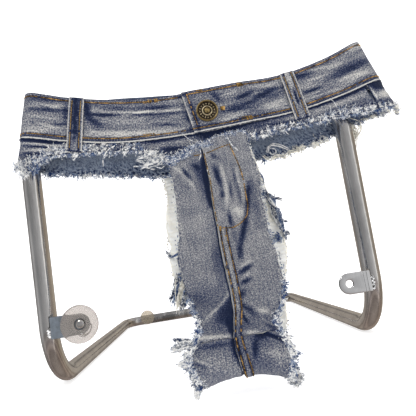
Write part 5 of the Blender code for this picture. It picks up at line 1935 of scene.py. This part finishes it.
def mix(tree, share, first, second, kind="MIX"):
    """Two colours mixed by a share."""
    made = add_node(tree, "ShaderNodeMix", data_type="RGBA", blend_type=kind)
    for index, value in ((0, share), (6, first), (7, second)):
        if isinstance(value, bpy.types.NodeSocket):
            tree.links.new(value, made.inputs[index])
        else:
            made.inputs[index].default_value = value
    return made.outputs[2]


def light_world():
    """Soft light from all round, with the bands that the steel mirrors."""
    world = bpy.data.worlds.new("studio_light")
    world.use_nodes = True
    tree = world.node_tree
    direction = add_node(tree, "ShaderNodeTexCoord").outputs["Generated"]
    split = add_node(tree, "ShaderNodeSeparateXYZ", _0=direction)
    azimuth = maths(tree, "ARCTAN2", split.outputs[0], split.outputs[1])
    upward = split.outputs[2]
    ring = ramp(tree, weighted_sum(tree, ((azimuth, 0.5 / math.pi),), 0.5), HORIZON)
    overhead = add_node(tree, "ShaderNodeMapRange", _0=upward, _1=0.35, _2=0.95).outputs[0]
    underneath = add_node(tree, "ShaderNodeMapRange", _0=upward, _1=-0.3, _2=-1.0).outputs[0]
    lower = mix(tree, underneath, mix(tree, overhead, ring, OVERHEAD), UNDERNEATH)
    strata = ramp(tree, maths(tree, "MULTIPLY", upward, -1.0), BELOW)
    background = tree.nodes["Background"]
    tree.links.new(mix(tree, 1.0, lower, strata, "MULTIPLY"), background.inputs[0])
    background.inputs[1].default_value = 0.66
    bpy.context.scene.world = world


def hang_lamps():
    """Hang the lamps; only the key light shows in polished things."""
    for name, place, aim, size, power in LAMPS:
        lamp = bpy.data.lights.new(name, "AREA")
        lamp.size = size
        lamp.energy = power
        holder = bpy.data.objects.new(name, lamp)
        bpy.context.scene.collection.objects.link(holder)
        holder.location = place
        holder.rotation_euler = (Vector(aim) - Vector(place)).to_track_quat("-Z", "Y").to_euler()
        holder.visible_glossy = name == "key_light"


def set_camera():
    """Set the camera low in front, tipped to one side."""
    scene = bpy.context.scene
    camera = bpy.data.cameras.new("camera")
    camera.sensor_width = 36.0
    camera.lens = CAMERA_LENS
    camera.clip_start = 0.01
    holder = bpy.data.objects.new("camera", camera)
    scene.collection.objects.link(holder)
    flat = math.cos(CAMERA_PITCH)
    ahead = Vector((math.sin(CAMERA_YAW) * flat, math.cos(CAMERA_YAW) * flat, math.sin(CAMERA_PITCH)))
    level = Vector((math.cos(CAMERA_YAW), -math.sin(CAMERA_YAW), 0.0))
    above = level.cross(ahead)
    right = math.cos(CAMERA_ROLL) * level - math.sin(CAMERA_ROLL) * above
    up = math.sin(CAMERA_ROLL) * level + math.cos(CAMERA_ROLL) * above
    pose = Matrix((right, up, -ahead)).transposed().to_4x4()
    pose.translation = Vector(CAMERA_PLACE) + Vector(SHIFT)
    holder.matrix_world = pose
    scene.camera = holder


class SHORTS_OT_stage(bpy.types.Operator):
    """Set the pale floor, soft lights and the camera"""

    bl_idname = "shorts.stage"
    bl_label = "Studio"

    def execute(self, context):
        lay_floor(context.scene.shorts_colours.floor)
        light_world()
        hang_lamps()
        set_camera()
        context.scene.view_settings.view_transform = "Standard"
        return {"FINISHED"}


OPERATORS = (
    SHORTS_OT_finishes,
    SHORTS_OT_stand_tube,
    SHORTS_OT_tabs,
    SHORTS_OT_bumpers,
    SHORTS_OT_waistband,
    SHORTS_OT_strips,
    SHORTS_OT_centre_panels,
    SHORTS_OT_lining,
    SHORTS_OT_belt_loops,
    SHORTS_OT_button,
    SHORTS_OT_stitching,
    SHORTS_OT_frays,
    SHORTS_OT_stage,
)


class SHORTS_PT_panel(bpy.types.Panel):
    """Lists the operators and settings in the sidebar"""

    bl_idname = "SHORTS_PT_panel"
    bl_label = "Ripped shorts"
    bl_space_type = "VIEW_3D"
    bl_region_type = "UI"
    bl_category = "Shorts"

    def draw(self, context):
        for operator in OPERATORS:
            self.layout.operator(operator.bl_idname)
        for settings in (context.scene.shorts_sizes, context.scene.shorts_colours):
            box = self.layout.box()
            for key in settings.__annotations__:
                box.prop(settings, key)


CLASSES = (ShortsSizes, ShortsColours) + OPERATORS + (SHORTS_PT_panel,)


def register():
    for item in CLASSES:
        bpy.utils.register_class(item)
    bpy.types.Scene.shorts_sizes = bpy.props.PointerProperty(type=ShortsSizes)
    bpy.types.Scene.shorts_colours = bpy.props.PointerProperty(type=ShortsColours)


def unregister():
    del bpy.types.Scene.shorts_colours
    del bpy.types.Scene.shorts_sizes
    for item in reversed(CLASSES):
        bpy.utils.unregister_class(item)


def main():
    register()
    for operator in OPERATORS:
        name = operator.bl_idname.split(".")[1]
        getattr(bpy.ops.shorts, name)()


if __name__ == "__main__":
    main()
